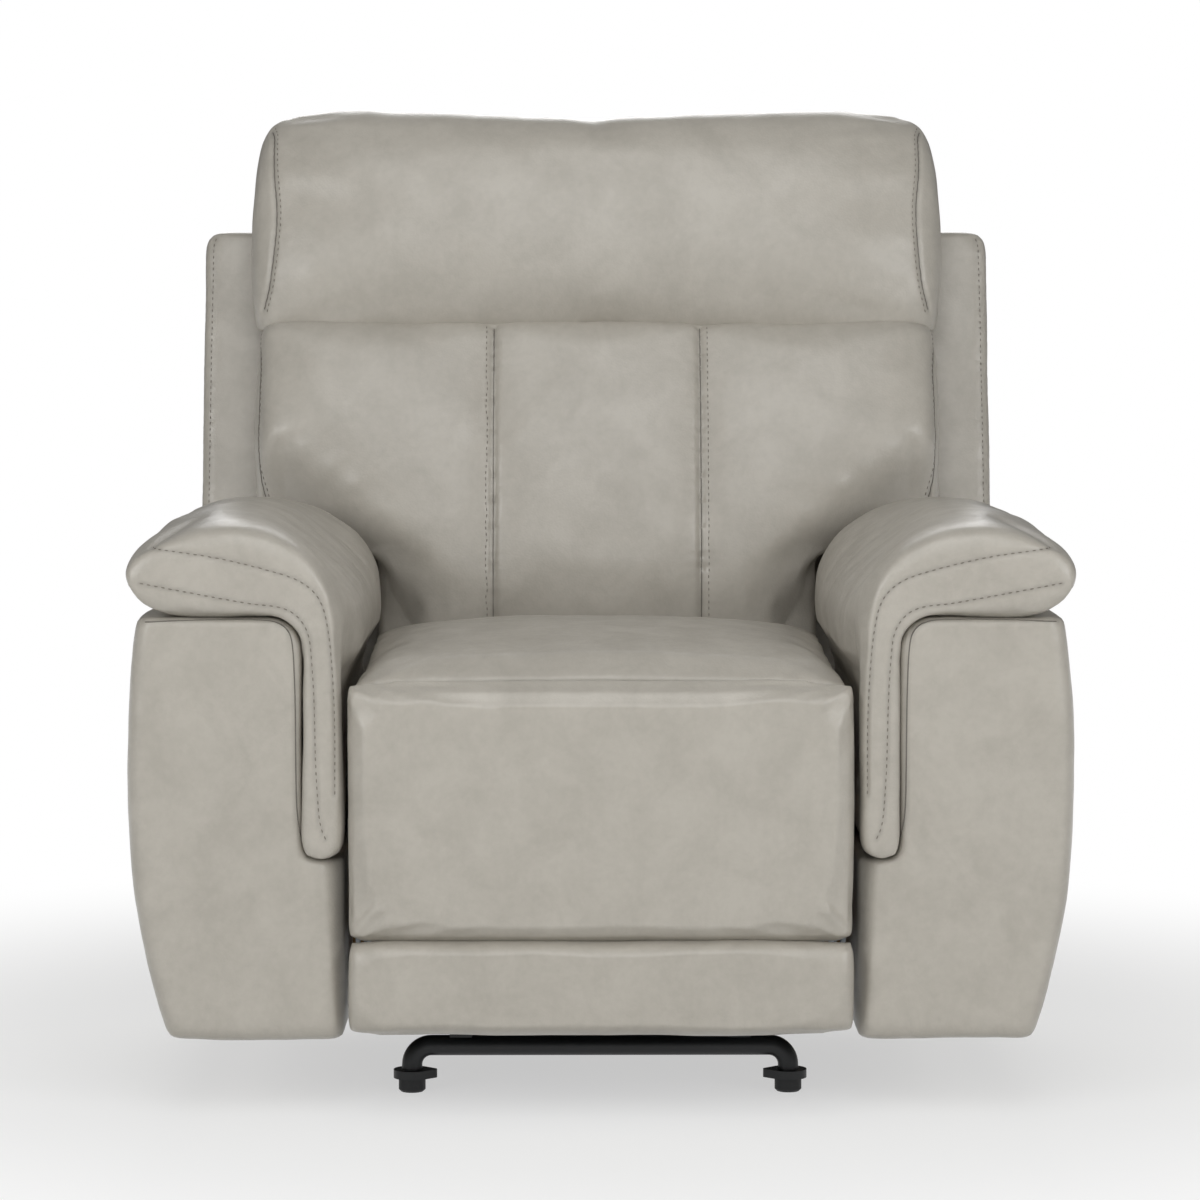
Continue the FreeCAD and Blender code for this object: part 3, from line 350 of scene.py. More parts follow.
@dataclass(frozen=True)
class ZincSteel:
    """Pressed steel with a bright zinc plate: grey metal with a faint spangle and dull clouds."""

    name: str = "zinc_plated_steel"
    colour: str = "#A6ABAF"
    dull: str = "#84898C"
    spangle_mm: float = 6.0
    cloud_mm: float = 22.0
    roughness: tuple[float, float] = (0.26, 0.44)

    def build(self) -> bpy.types.Material:
        """Builds the material."""
        tree, shader, place = new_material(self.name)
        spangle = add_node(
            tree,
            "ShaderNodeTexVoronoi",
            {"Vector": place, "Scale": per_metre(self.spangle_mm)},
        )
        cloud = add_node(
            tree,
            "ShaderNodeTexNoise",
            {"Vector": place, "Scale": per_metre(self.cloud_mm), "Detail": 5.0},
        )
        tone = add_node(
            tree,
            "ShaderNodeMix",
            {0: 0.65, 2: spangle.outputs["Color"], 3: cloud.outputs[0]},
            data_type="FLOAT",
        )
        tint = add_node(
            tree,
            "ShaderNodeMix",
            {0: tone.outputs[0], 6: linear(self.dull), 7: linear(self.colour)},
            data_type="RGBA",
        )
        tree.links.new(tint.outputs[2], shader.inputs["Base Color"])
        polish = add_node(
            tree,
            "ShaderNodeMapRange",
            {0: tone.outputs[0], 1: 0.2, 2: 0.8, 3: self.roughness[1], 4: self.roughness[0]},
        )
        tree.links.new(polish.outputs[0], shader.inputs["Roughness"])
        shader.inputs["Metallic"].default_value = 1.0
        return bpy.data.materials[self.name]


@dataclass(frozen=True)
class Plywood:
    """Sawn hardwood plywood, unfinished: pale streaks along the fibres and a dry surface."""

    grain: Grain = Grain.ALONG_X
    pale: str = "#C8A678"
    dark: str = "#9C7748"
    streak_mm: float = 240.0
    roughness: float = 0.72

    def build(self) -> bpy.types.Material:
        """Builds the material."""
        name = "plywood_" + self.grain.name.lower()
        tree, shader, place = new_material(name)
        run = add_node(tree, "ShaderNodeMapping", {"Vector": place, "Scale": self.grain.value})
        fibre = add_node(
            tree,
            "ShaderNodeTexNoise",
            {
                "Vector": run.outputs[0],
                "Scale": per_metre(self.streak_mm),
                "Detail": 7.0,
                "Roughness": 0.6,
            },
        )
        ramp = add_node(tree, "ShaderNodeValToRGB", {0: fibre.outputs[0]})
        ramp.color_ramp.elements[0].position = 0.35
        ramp.color_ramp.elements[0].color = linear(self.dark)
        ramp.color_ramp.elements[1].position = 0.66
        ramp.color_ramp.elements[1].color = linear(self.pale)
        tree.links.new(ramp.outputs[0], shader.inputs["Base Color"])
        bump = add_node(
            tree,
            "ShaderNodeBump",
            {"Strength": 0.3, "Distance": 0.0006, "Height": fibre.outputs[0]},
        )
        tree.links.new(bump.outputs[0], shader.inputs["Normal"])
        shader.inputs["Roughness"].default_value = self.roughness
        return bpy.data.materials[name]


@dataclass(frozen=True)
class Webbing:
    """Woven elastic webbing: dark warp threads with a lighter weft crossing them."""

    name: str = "elastic_webbing"
    warp: str = "#1B1B1D"
    weft: str = "#3A3A3C"
    thread_mm: float = 3.0
    # The wave texture runs about this many half waves, one thread each, in a unit of its scale.
    halves: float = 6.3
    roughness: float = 0.85

    def build(self) -> bpy.types.Material:
        """Builds the material."""
        tree, shader, place = new_material(self.name)
        threads = []
        for direction in ("X", "Y"):
            scale = per_metre(self.thread_mm) / self.halves
            wave = add_node(
                tree,
                "ShaderNodeTexWave",
                {"Vector": place, "Scale": scale, "Distortion": 0.3},
                bands_direction=direction,
            )
            threads.append(wave.outputs["Fac"])
        weave = add_node(tree, "ShaderNodeMath", {0: threads[0], 1: threads[1]}, operation="MULTIPLY")
        tint = add_node(
            tree,
            "ShaderNodeMix",
            {0: weave.outputs[0], 6: linear(self.warp), 7: linear(self.weft)},
            data_type="RGBA",
        )
        tree.links.new(tint.outputs[2], shader.inputs["Base Color"])
        bump = add_node(
            tree,
            "ShaderNodeBump",
            {"Strength": 0.5, "Distance": 0.0008, "Height": weave.outputs[0]},
        )
        tree.links.new(bump.outputs[0], shader.inputs["Normal"])
        shader.inputs["Roughness"].default_value = self.roughness
        shader.inputs["Sheen Weight"].default_value = 0.25
        return bpy.data.materials[self.name]


@dataclass(frozen=True)
class DustCloth:
    """Black spun-bonded dust cloth stapled over the boards: matt, with fine embossed points."""

    name: str = "polypropylene_dust_cloth"
    colour: str = "#29292A"
    pale: str = "#39393A"
    point_mm: float = 2.5
    roughness: float = 0.85

    def build(self) -> bpy.types.Material:
        """Builds the material."""
        tree, shader, place = new_material(self.name)
        points = add_node(
            tree,
            "ShaderNodeTexVoronoi",
            {"Vector": place, "Scale": per_metre(self.point_mm), "Randomness": 0.2},
        )
        fibre = add_node(
            tree,
            "ShaderNodeTexNoise",
            {"Vector": place, "Scale": per_metre(self.point_mm / 2), "Detail": 3.0},
        )
        tint = add_node(
            tree,
            "ShaderNodeMix",
            {0: fibre.outputs[0], 6: linear(self.colour), 7: linear(self.pale)},
            data_type="RGBA",
        )
        tree.links.new(tint.outputs[2], shader.inputs["Base Color"])
        bump = add_node(
            tree,
            "ShaderNodeBump",
            {"Strength": 0.25, "Distance": 0.0004, "Height": points.outputs[0]},
        )
        tree.links.new(bump.outputs[0], shader.inputs["Normal"])
        shader.inputs["Roughness"].default_value = self.roughness
        return bpy.data.materials[self.name]


@dataclass(frozen=True)
class MouldedPlastic:
    """Injection-moulded black polypropylene with a spark-eroded matt texture."""

    name: str = "polypropylene_black"
    colour: str = "#18191A"
    pale: str = "#242526"
    grit_mm: float = 1.2
    roughness: float = 0.55

    def build(self) -> bpy.types.Material:
        """Builds the material."""
        tree, shader, place = new_material(self.name)
        grit = add_node(
            tree,
            "ShaderNodeTexNoise",
            {"Vector": place, "Scale": per_metre(self.grit_mm), "Detail": 3.0},
        )
        tint = add_node(
            tree,
            "ShaderNodeMix",
            {0: grit.outputs[0], 6: linear(self.colour), 7: linear(self.pale)},
            data_type="RGBA",
        )
        tree.links.new(tint.outputs[2], shader.inputs["Base Color"])
        bump = add_node(
            tree,
            "ShaderNodeBump",
            {"Strength": 0.3, "Distance": 0.0003, "Height": grit.outputs[0]},
        )
        tree.links.new(bump.outputs[0], shader.inputs["Normal"])
        shader.inputs["Roughness"].default_value = self.roughness
        return bpy.data.materials[self.name]


@dataclass(frozen=True)
class Thread:
    """Bonded polyester sewing thread: a soft twisted sheen. Darker, it paints the seams' shade."""

    name: str = "polyester_thread"
    colour: str = "#736D65"
    pale: str = "#8A847B"
    twist_mm: float = 1.5
    roughness: float = 0.5

    def build(self) -> bpy.types.Material:
        """Builds the material."""
        tree, shader, place = new_material(self.name)
        twist = add_node(
            tree,
            "ShaderNodeTexNoise",
            {"Vector": place, "Scale": per_metre(self.twist_mm), "Detail": 2.0},
        )
        tint = add_node(
            tree,
            "ShaderNodeMix",
            {0: twist.outputs[0], 6: linear(self.colour), 7: linear(self.pale)},
            data_type="RGBA",
        )
        tree.links.new(tint.outputs[2], shader.inputs["Base Color"])
        shader.inputs["Roughness"].default_value = self.roughness
        return bpy.data.materials[self.name]


# Soft forms


def coords(mesh: bpy.types.Mesh) -> np.ndarray:
    """The mesh's points as an array of rows, in metres."""
    out = np.empty(len(mesh.vertices) * 3)
    mesh.vertices.foreach_get("co", out)
    return out.reshape(-1, 3)


def set_coords(mesh: bpy.types.Mesh, co: np.ndarray) -> None:
    """Writes the points back to the mesh."""
    mesh.vertices.foreach_set("co", co.ravel())
    mesh.update()


def point_normals(mesh: bpy.types.Mesh) -> np.ndarray:
    """The mesh's normals at its points."""
    out = np.empty(len(mesh.vertices) * 3)
    mesh.vertex_normals.foreach_get("vector", out)
    return out.reshape(-1, 3)


def link_object(name: str, mesh: bpy.types.Mesh) -> bpy.types.Object:
    """Puts a mesh in the scene as an object at the origin."""
    thing = bpy.data.objects.new(name, mesh)
    bpy.context.scene.collection.objects.link(thing)
    return thing


def baked(thing: bpy.types.Object) -> bpy.types.Object:
    """Replaces an object's mesh by its evaluated one and takes its modifiers off.

    Args:
        thing: An object with live modifiers.

    Returns:
        The same object with a plain mesh.
    """
    graph = bpy.context.evaluated_depsgraph_get()
    mesh = bpy.data.meshes.new_from_object(thing.evaluated_get(graph), depsgraph=graph)
    thing.modifiers.clear()
    old = thing.data
    thing.data = mesh
    mesh.name = thing.name
    bpy.data.meshes.remove(old)
    return thing


def smooth(thing: bpy.types.Object, rounds: int) -> None:
    """Smooths an object's mesh by this many rounds, after the modifiers that it has."""
    modifier = thing.modifiers.new("smooth", "SMOOTH")
    modifier.iterations = rounds
    modifier.factor = 0.5
    baked(thing)


def smooth_path(points: Sequence[Point], step_mm: float = SEAM_STEP) -> np.ndarray:
    """A smooth line through a few points.

    Args:
        points: Points in millimetres.
        step_mm: Distance between the points that come back.

    Returns:
        Rows of points in metres, evenly spaced.
    """
    rows = np.array(points, float)
    padded = np.vstack([2 * rows[0] - rows[1], rows, 2 * rows[-1] - rows[-2]])
    line = []
    for a, b, c, d in zip(padded, padded[1:], padded[2:], padded[3:]):
        for t in np.linspace(0, 1, 24, endpoint=False):
            bend, twist = 2 * a - 5 * b + 4 * c - d, 3 * b - a - 3 * c + d
            line.append(0.5 * (2 * b + (c - a) * t + bend * t * t + twist * t**3))
    line.append(rows[-1])
    line = np.array(line)
    lengths = np.concatenate([[0], np.cumsum(np.linalg.norm(np.diff(line, axis=0), axis=1))])
    count = max(2, int(lengths[-1] / step_mm) + 1)
    even = np.linspace(0, lengths[-1], count)
    return np.stack([np.interp(even, lengths, line[:, k]) for k in range(3)], axis=1) * MM


@dataclass(frozen=True)
class Seam:
    """A sewn line on a padded piece: a groove, gathers, a dark cord of painted shade and stitches."""

    path: tuple[Point, ...]
    depth_mm: float = 4.0
    width_mm: float = 5.0
    stitch_mm: tuple[float, ...] = (5.0,)
    gather_mm: float = 0.5
    leaning: bool = False
    # Whether the groove gets a dark cord of painted shade.
    has_shade_cord: bool = True
    aim: Optional[Point] = None
    # Metres in front of the line from which it is dropped along its aim.
    start: float = 0.3

    def guide(self) -> np.ndarray:
        """The line before it is laid on the piece, in metres."""
        points = [on_back(p) for p in self.path] if self.leaning else self.path
        return smooth_path(points)

    def drop(self, tree: BVHTree, points: np.ndarray) -> tuple[np.ndarray, np.ndarray]:
        """Drops points onto a surface, along the seam's aim if it has one.

        Args:
            tree: The surface.
            points: Points near it, in metres.

        Returns:
            The places on the surface and the normals there.
        """
        way = None if self.aim is None else Vector(self.aim)
        if way is not None and self.leaning:
            way.rotate(Matrix.Rotation(-LEAN, 3, "X"))
        places, normals = [], []
        for point in points:
            hit = (None, None) if way is None else tree.ray_cast(Vector(point) - way * self.start, way)
            if hit[0] is None:
                hit = tree.find_nearest(Vector(point))
            places.append(hit[0])
            normals.append(hit[1])
        return np.array(places), np.array(normals)

    def lay(self, tree: BVHTree) -> tuple[np.ndarray, np.ndarray]:
        """Lays the whole line on a surface: its places and the normals there."""
        return self.drop(tree, self.guide())


def evened(points: np.ndarray, width: int = 9) -> np.ndarray:
    """Evens out a row of points by a moving mean.

    Args:
        points: One point for each row of the array.
        width: How many neighbours share in each mean, an odd number.

    Returns:
        As many points, with the kinks taken out.
    """
    padded = np.pad(points, ((width // 2, width // 2), (0, 0)), mode="edge")
    share = np.full(width, 1.0 / width)
    return np.stack([np.convolve(padded[:, k], share, mode="valid") for k in range(3)], axis=1)


def surface(mesh: bpy.types.Mesh) -> BVHTree:
    """A search tree of a mesh's faces."""
    faces = [tuple(p.vertices) for p in mesh.polygons]
    return BVHTree.FromPolygons([v.co for v in mesh.vertices], faces)


def near_line(
    co: np.ndarray, line: np.ndarray, reach: float = SEAM_REACH
) -> tuple[np.ndarray, np.ndarray, np.ndarray]:
    """Finds the points close to a line.

    Args:
        co: All points.
        line: Points of the line.
        reach: How far to look, in metres.

    Returns:
        Indices of the points found, their distances and their nearest line points.
    """
    low, high = line.min(0) - reach, line.max(0) + reach
    inside = np.nonzero(((co > low) & (co < high)).all(1))[0]
    tree = KDTree(len(line))
    for number, point in enumerate(line):
        tree.insert(point, number)
    tree.balance()
    found, gaps, places = [], [], []
    for index in inside:
        _, number, gap = tree.find(co[index])
        if gap < reach:
            found.append(index)
            gaps.append(gap)
            places.append(number)
    return np.array(found, int), np.array(gaps), np.array(places, int)


def waves(co: np.ndarray, size_mm: float, seed: int, count: int = 9) -> np.ndarray:
    """A smooth field of gentle swells between about -1 and 1.

    Args:
        co: Points in metres.
        size_mm: Typical distance between swells.
        seed: Fixed seed of the directions.
        count: How many waves are added up.

    Returns:
        One value for each point.
    """
    rng = np.random.default_rng(seed)
    total = np.zeros(len(co))
    for _ in range(count):
        way = rng.normal(size=3)
        way /= np.linalg.norm(way)
        pitch = size_mm * MM * rng.uniform(0.7, 1.6)
        total += np.sin(co @ way * (2 * math.pi / pitch) + rng.uniform(0, 2 * math.pi))
    return total / math.sqrt(count)


Rows = dict[str, list[np.ndarray]]
STITCHES: Rows = {}
SHADE_CORDS: Rows = {}


@dataclass
class SoftPiece:
    """A padded piece: grown from its solid, swollen as cloth if its cap allows it, then sewn."""

    name: str
    node: str
    body: str
    finish: bpy.types.Material
    seams: tuple[Seam, ...] = ()
    held: Optional[Callable[[np.ndarray], np.ndarray]] = None
    leaning: bool = False
    fit: Optional[tuple[Point, Point]] = None
    shape: Optional[Callable[[np.ndarray], np.ndarray]] = None
    voxel: float = 0.006
    shrink: float = 0.008
    pressure: float = 4.0
    cap: float = 0.024
    fill: float = 0.7
    swell_mm: float = 0.8
    soften: int = 8
    subdivide: bool = True
    calm: int = 0
    lift: float = 0.0003
    seed: int = 1

    def build(self) -> bpy.types.Object:
        """Makes the piece.

        Returns:
            The finished object, sewn and riding on its body.
        """
        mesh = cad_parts[self.node].data.copy()
        work = bmesh.new()
        work.from_mesh(mesh)
        bmesh.ops.remove_doubles(work, verts=work.verts, dist=MERGE)
        work.to_mesh(mesh)
        work.free()
        mesh.materials.clear()
        thing = link_object(self.name, mesh)
        remesh = thing.modifiers.new("grow", "REMESH")
        remesh.mode = "VOXEL"
        remesh.voxel_size = self.voxel
        smooth(thing, self.soften)
        if self.cap > 0:
            self.swell(thing)
        if self.calm:
            smooth(thing, self.calm)
        if self.subdivide:
            finer = thing.modifiers.new("finer", "SUBSURF")
            finer.levels = 1
            finer.render_levels = 1
            baked(thing)
        self.form(thing)
        self.sew(thing)
        thing.data.materials.append(self.finish)
        thing.data.polygons.foreach_set("use_smooth", [True] * len(thing.data.polygons))
        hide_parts(self.node)
        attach(thing, self.body)
        log.info("%s: %d faces", self.name, len(thing.data.polygons))
        return thing

    def swell(self, thing: bpy.types.Object) -> None:
        """Swells the piece as air-filled cloth, held at its seams and where it rests."""
        mesh = thing.data
        start = coords(mesh)
        start = start - point_normals(mesh) * self.shrink
        held = np.zeros(len(start), bool) if self.held is None else self.held(start)
        tree = surface(mesh)
        for seam in self.seams:
            line, normals = seam.lay(tree)
            found, gaps, places = near_line(start, line)
            if not len(found):
                continue
            held[found[gaps < seam.width_mm * MM + self.shrink]] = True
            draw = seam.depth_mm * MM * np.exp(-((gaps / DRAW_FADE) ** 2))
            start[found] -= normals[places] * draw[:, None]
        set_coords(mesh, start)
        group = thing.vertex_groups.new(name="held")
        group.add([int(i) for i in np.nonzero(held)[0]], 1.0, "REPLACE")
        cloth = thing.modifiers.new("swell", "CLOTH")
        for setting, value in CLOTH.items():
            setattr(cloth.settings, setting, value)
        cloth.settings.uniform_pressure_force = self.pressure
        cloth.settings.vertex_group_mass = "held"
        cloth.settings.effector_weights.gravity = 0.0
        cloth.collision_settings.use_collision = False
        cloth.collision_settings.use_self_collision = False
        cloth.point_cache.frame_start = 1
        cloth.point_cache.frame_end = SWELL_FRAMES
        scene = bpy.context.scene
        for number in range(1, SWELL_FRAMES + 1):
            scene.frame_set(number)
        graph = bpy.context.evaluated_depsgraph_get()
        swollen = coords(thing.evaluated_get(graph).data)
        thing.modifiers.clear()
        thing.vertex_groups.clear()
        scene.frame_set(1)
        move = swollen - start
        length = np.linalg.norm(move, axis=1, keepdims=True)
        move *= np.minimum(1.0, self.cap / np.maximum(length, TINY))
        set_coords(mesh, start + move)

    def form(self, thing: bpy.types.Object) -> None:
        """Gives the swollen piece its own slack and the shape that the real one has."""
        mesh = thing.data
        co, normals = coords(mesh), point_normals(mesh)
        slack = waves(co, LONG_SWELL, self.seed) * self.swell_mm
        slack += waves(co, SHORT_SWELL, self.seed + 1) * self.swell_mm * 0.3
        co = co + normals * (slack * MM)[:, None]
        own = off_back(co) if self.leaning else co / MM
        if self.fit is not None:
            low, high = own.min(0), own.max(0)
            share = (own - low) / (high - low)
            own = np.array(self.fit[0]) * (1 - share) + np.array(self.fit[1]) * share
        if self.shape is not None:
            own = self.shape(own)
        set_coords(mesh, lean_back(own) if self.leaning else own * MM)

    def sew(self, thing: bpy.types.Object) -> None:
        """Draws the seams in with painted shade, and keeps their stitches and dark shade cords for the
        body.
        """
        mesh = thing.data
        crease_shade = np.zeros(len(mesh.vertices))
        tree = surface(mesh)
        co, normals = coords(mesh), point_normals(mesh)
        for number, seam in enumerate(self.seams):
            found, gaps, places = near_line(co, seam.lay(tree)[0])
            if not len(found):
                continue
            along = places * SEAM_STEP
            groove = seam.depth_mm * np.exp(-((gaps / (seam.width_mm * MM)) ** 2))
            run = np.stack([along * MM, 0 * along, 0 * along], 1)
            phase = waves(run, GATHER_DRIFT, self.seed + 7 + number) * 2.0
            pucker = seam.gather_mm * np.exp(-gaps / GATHER_FADE)
            pucker *= np.sin(along / GATHER_PITCH * 2 * math.pi + phase)
            co[found] -= normals[found] * ((groove + pucker) * MM)[:, None]
            # Painted shade: the amount that darkens the leather near each seam's line.
            seam_shade = SEAM_SHADE_SHARE * np.exp(-((gaps / SEAM_SHADE_FADE) ** 2))
            crease_shade[found] = np.maximum(crease_shade[found], seam_shade)
        set_coords(mesh, co)
        layer = mesh.attributes.new("crease_shade", "FLOAT", "POINT")
        layer.data.foreach_set("value", crease_shade.astype(np.float32))
        tree = surface(mesh)
        for seam in self.seams:
            line, ups = (evened(part) for part in seam.lay(tree))
            # A dark cord along the groove: painted shade.
            if seam.has_shade_cord:
                SHADE_CORDS.setdefault(self.body, []).append(seam.drop(tree, line)[0])
            way = np.gradient(line, axis=0)
            across = np.cross(ups, way)
            across /= np.maximum(np.linalg.norm(across, axis=1, keepdims=True), TINY)
            for offset in seam.stitch_mm:
                row, normals = seam.drop(tree, line + across * offset * MM)
                STITCHES.setdefault(self.body, []).append(row + normals * self.lift)


# Upholstery


@dataclass
class BackUpholstery:
    """The headrest, the three-panel back cushion and the outer back with its wings."""

    finish: bpy.types.Material
    rear_mm: float = 20.0
    channel_mm: float = 124.0
    headrest_side_mm: float = 398.0
    cushion_side_mm: float = 396.0
    strip_mm: float = 6.0
    held_mm: float = 6.0
    headrest_box: tuple[Point, Point] = ((-421.0, -112.0, 515.0), (421.0, 20.0, 801.0))
    cushion_box: tuple[Point, Point] = ((-414.0, -114.0, 72.0), (414.0, 20.0, 531.0))
    # The wings' front face, and the seams of the rear face: uprights at both sides and a yoke.
    wing_y_mm: float = 22.0
    rear_y_mm: float = 138.0
    upright_x_mm: float = 330.0
    yoke_z_mm: float = 600.0
    # The cushion turns under below a ridge: level in the middle, rising past ridge_x_mm.
    ridge_x_mm: float = 175.0
    ridge_z_mm: float = 232.0
    ridge_slope: float = 0.8
    tuck_run_mm: float = 120.0
    tuck_mm: tuple[float, float] = (14.0, 26.0)

    def behind(self, co: np.ndarray) -> np.ndarray:
        """Marks the points that lie against the outer back."""
        return off_back(co)[:, 1] > self.rear_mm - self.held_mm

    def end_seam(self, sign: float, path: tuple[Point, ...]) -> Seam:
        """The line of a strip at one end, sewn on its outer side.

        Args:
            sign: Which end it is at, as a sign of x.
            path: The line in the upright back's frame.

        Returns:
            The seam.
        """
        return Seam(
            path,
            depth_mm=2.0,
            width_mm=4.0,
            stitch_mm=(sign * self.strip_mm,),
            gather_mm=0.3,
            leaning=True,
            aim=(-sign * 0.6, 0.8, 0.0),
        )

    def headrest(self) -> bpy.types.Object:
        """The long pillow across the top, with a sewn strip at each end."""
        seams = []
        for _, sign in SIDES:
            x = sign * self.headrest_side_mm
            path = (
                (x * 0.985, -40.0, 545.0),
                (x, -75.0, 580.0),
                (x * 1.003, -92.0, 640.0),
                (x, -85.0, 700.0),
                (x * 0.985, -60.0, 755.0),
                (x * 0.965, -30.0, 772.0),
            )
            seams.append(self.end_seam(sign, path))

        def rounded(own: np.ndarray) -> np.ndarray:
            """Rounds the pillow's upper corners and lets its lower edge sag in the middle."""
            corner, start, sag = 34.0, 386.0, 10.0
            past = np.clip(np.abs(own[:, 0]) - start, 0.0, corner)
            drop = corner - np.sqrt(corner**2 - past**2)
            own[:, 2] -= drop * rise(own[:, 2], 600.0, 800.0)
            middle = np.clip(1.0 - (own[:, 0] / 330.0) ** 2, 0.0, 1.0)
            own[:, 2] -= sag * (middle * rise(own[:, 2], 600.0, 520.0))
            return own

        return SoftPiece(
            "headrest_cover",
            "headrest_cushion",
            "back",
            self.finish,
            tuple(seams),
            held=self.behind,
            leaning=True,
            fit=self.headrest_box,
            shape=rounded,
            voxel=0.007,
            soften=12,
            cap=0.018,
            calm=12,
            seed=11,
            fill=0.75,
        ).build()

    def cushion(self) -> bpy.types.Object:
        """The back cushion: three panels drawn in at two upright seams, and end strips."""
        seams = []
        end = ((-40.0, 258.0), (-50.0, 320.0), (-55.0, 400.0), (-50.0, 470.0), (-30.0, 515.0))
        for _, sign in SIDES:
            x = sign * self.channel_mm
            path = tuple((x, -100.0, z) for z in (90.0, 200.0, 300.0, 400.0, 500.0, 520.0))
            row, aim = (-sign * 9.0,), (0.0, 1.0, 0.0)
            seams.append(Seam(path, depth_mm=5.0, width_mm=4.0, stitch_mm=row, leaning=True, aim=aim))
            x = sign * self.cushion_side_mm
            seams.append(self.end_seam(sign, tuple((x, y, z) for y, z in end)))

        def waist(own: np.ndarray) -> np.ndarray:
            """Fills the cushion out to the arms between them, and turns it under its ridge."""
            narrow = (np.abs(own[:, 0]) < 275.0) & (own[:, 2] < 246.0)
            share = rise(np.abs(own[:, 0]), 180.0, 250.0) * narrow
            own[:, 0] += np.sign(own[:, 0]) * 3.0 * share
            beside = np.clip(np.abs(own[:, 0]) - self.ridge_x_mm, 0.0, 200.0)
            ridge = self.ridge_z_mm + beside * self.ridge_slope
            turn = np.clip((ridge - own[:, 2]) / self.tuck_run_mm, 0.0, 1.0)
            turn = turn * turn * (3.0 - 2.0 * turn)
            least, most = self.tuck_mm
            deep = least + (most - least) * rise(beside, 0.0, 60.0)
            front = rise(own[:, 1], self.rear_mm, self.rear_mm - 100.0)
            own[:, 1] += deep * turn * front
            return own

        return SoftPiece(
            "back_cushion_cover",
            "back_cushion",
            "back",
            self.finish,
            tuple(seams),
            held=self.behind,
            leaning=True,
            fit=self.cushion_box,
            shape=waist,
            voxel=0.007,
            soften=14,
            calm=8,
            seed=21,
            fill=0.7,
        ).build()

    def outer(self) -> bpy.types.Object:
        """The leather stretched over the outer back and its wings."""
        seams = []
        wing = ((474.0, 30.0), (474.0, 300.0), (473.0, 620.0), (470.0, 655.0))
        single = {"depth_mm": 1.0, "width_mm": 3.0, "stitch_mm": (0.0,), "has_shade_cord": False}
        double = {"depth_mm": 3.0, "width_mm": 4.0, "stitch_mm": (-5.0, 5.0)}
        for _, sign in SIDES:
            front = tuple((sign * x, self.wing_y_mm, z) for x, z in wing)
            seams.append(Seam(front, leaning=True, **single))
            x = sign * self.upright_x_mm
            rear = tuple((x, self.rear_y_mm, z) for z in (12.0, 250.0, 500.0, 755.0))
            seams.append(Seam(rear, leaning=True, **double))
        steps = (-1.0, -0.5, 0.0, 0.5, 1.0)
        yoke = tuple((s * self.upright_x_mm, self.rear_y_mm, self.yoke_z_mm) for s in steps)
        seams.append(Seam(yoke, leaning=True, **double))
        return SoftPiece(
            "outer_back_cover",
            "back_outer_shell",
            "back",
            self.finish,
            tuple(seams),
            voxel=0.006,
            cap=0.0,
            swell_mm=0.5,
            soften=12,
            subdivide=False,
            seed=31,
            fill=0.95,
        ).build()

    def build(self) -> None:
        """Builds all the pieces on the back."""
        self.headrest()
        self.cushion()
        self.outer()


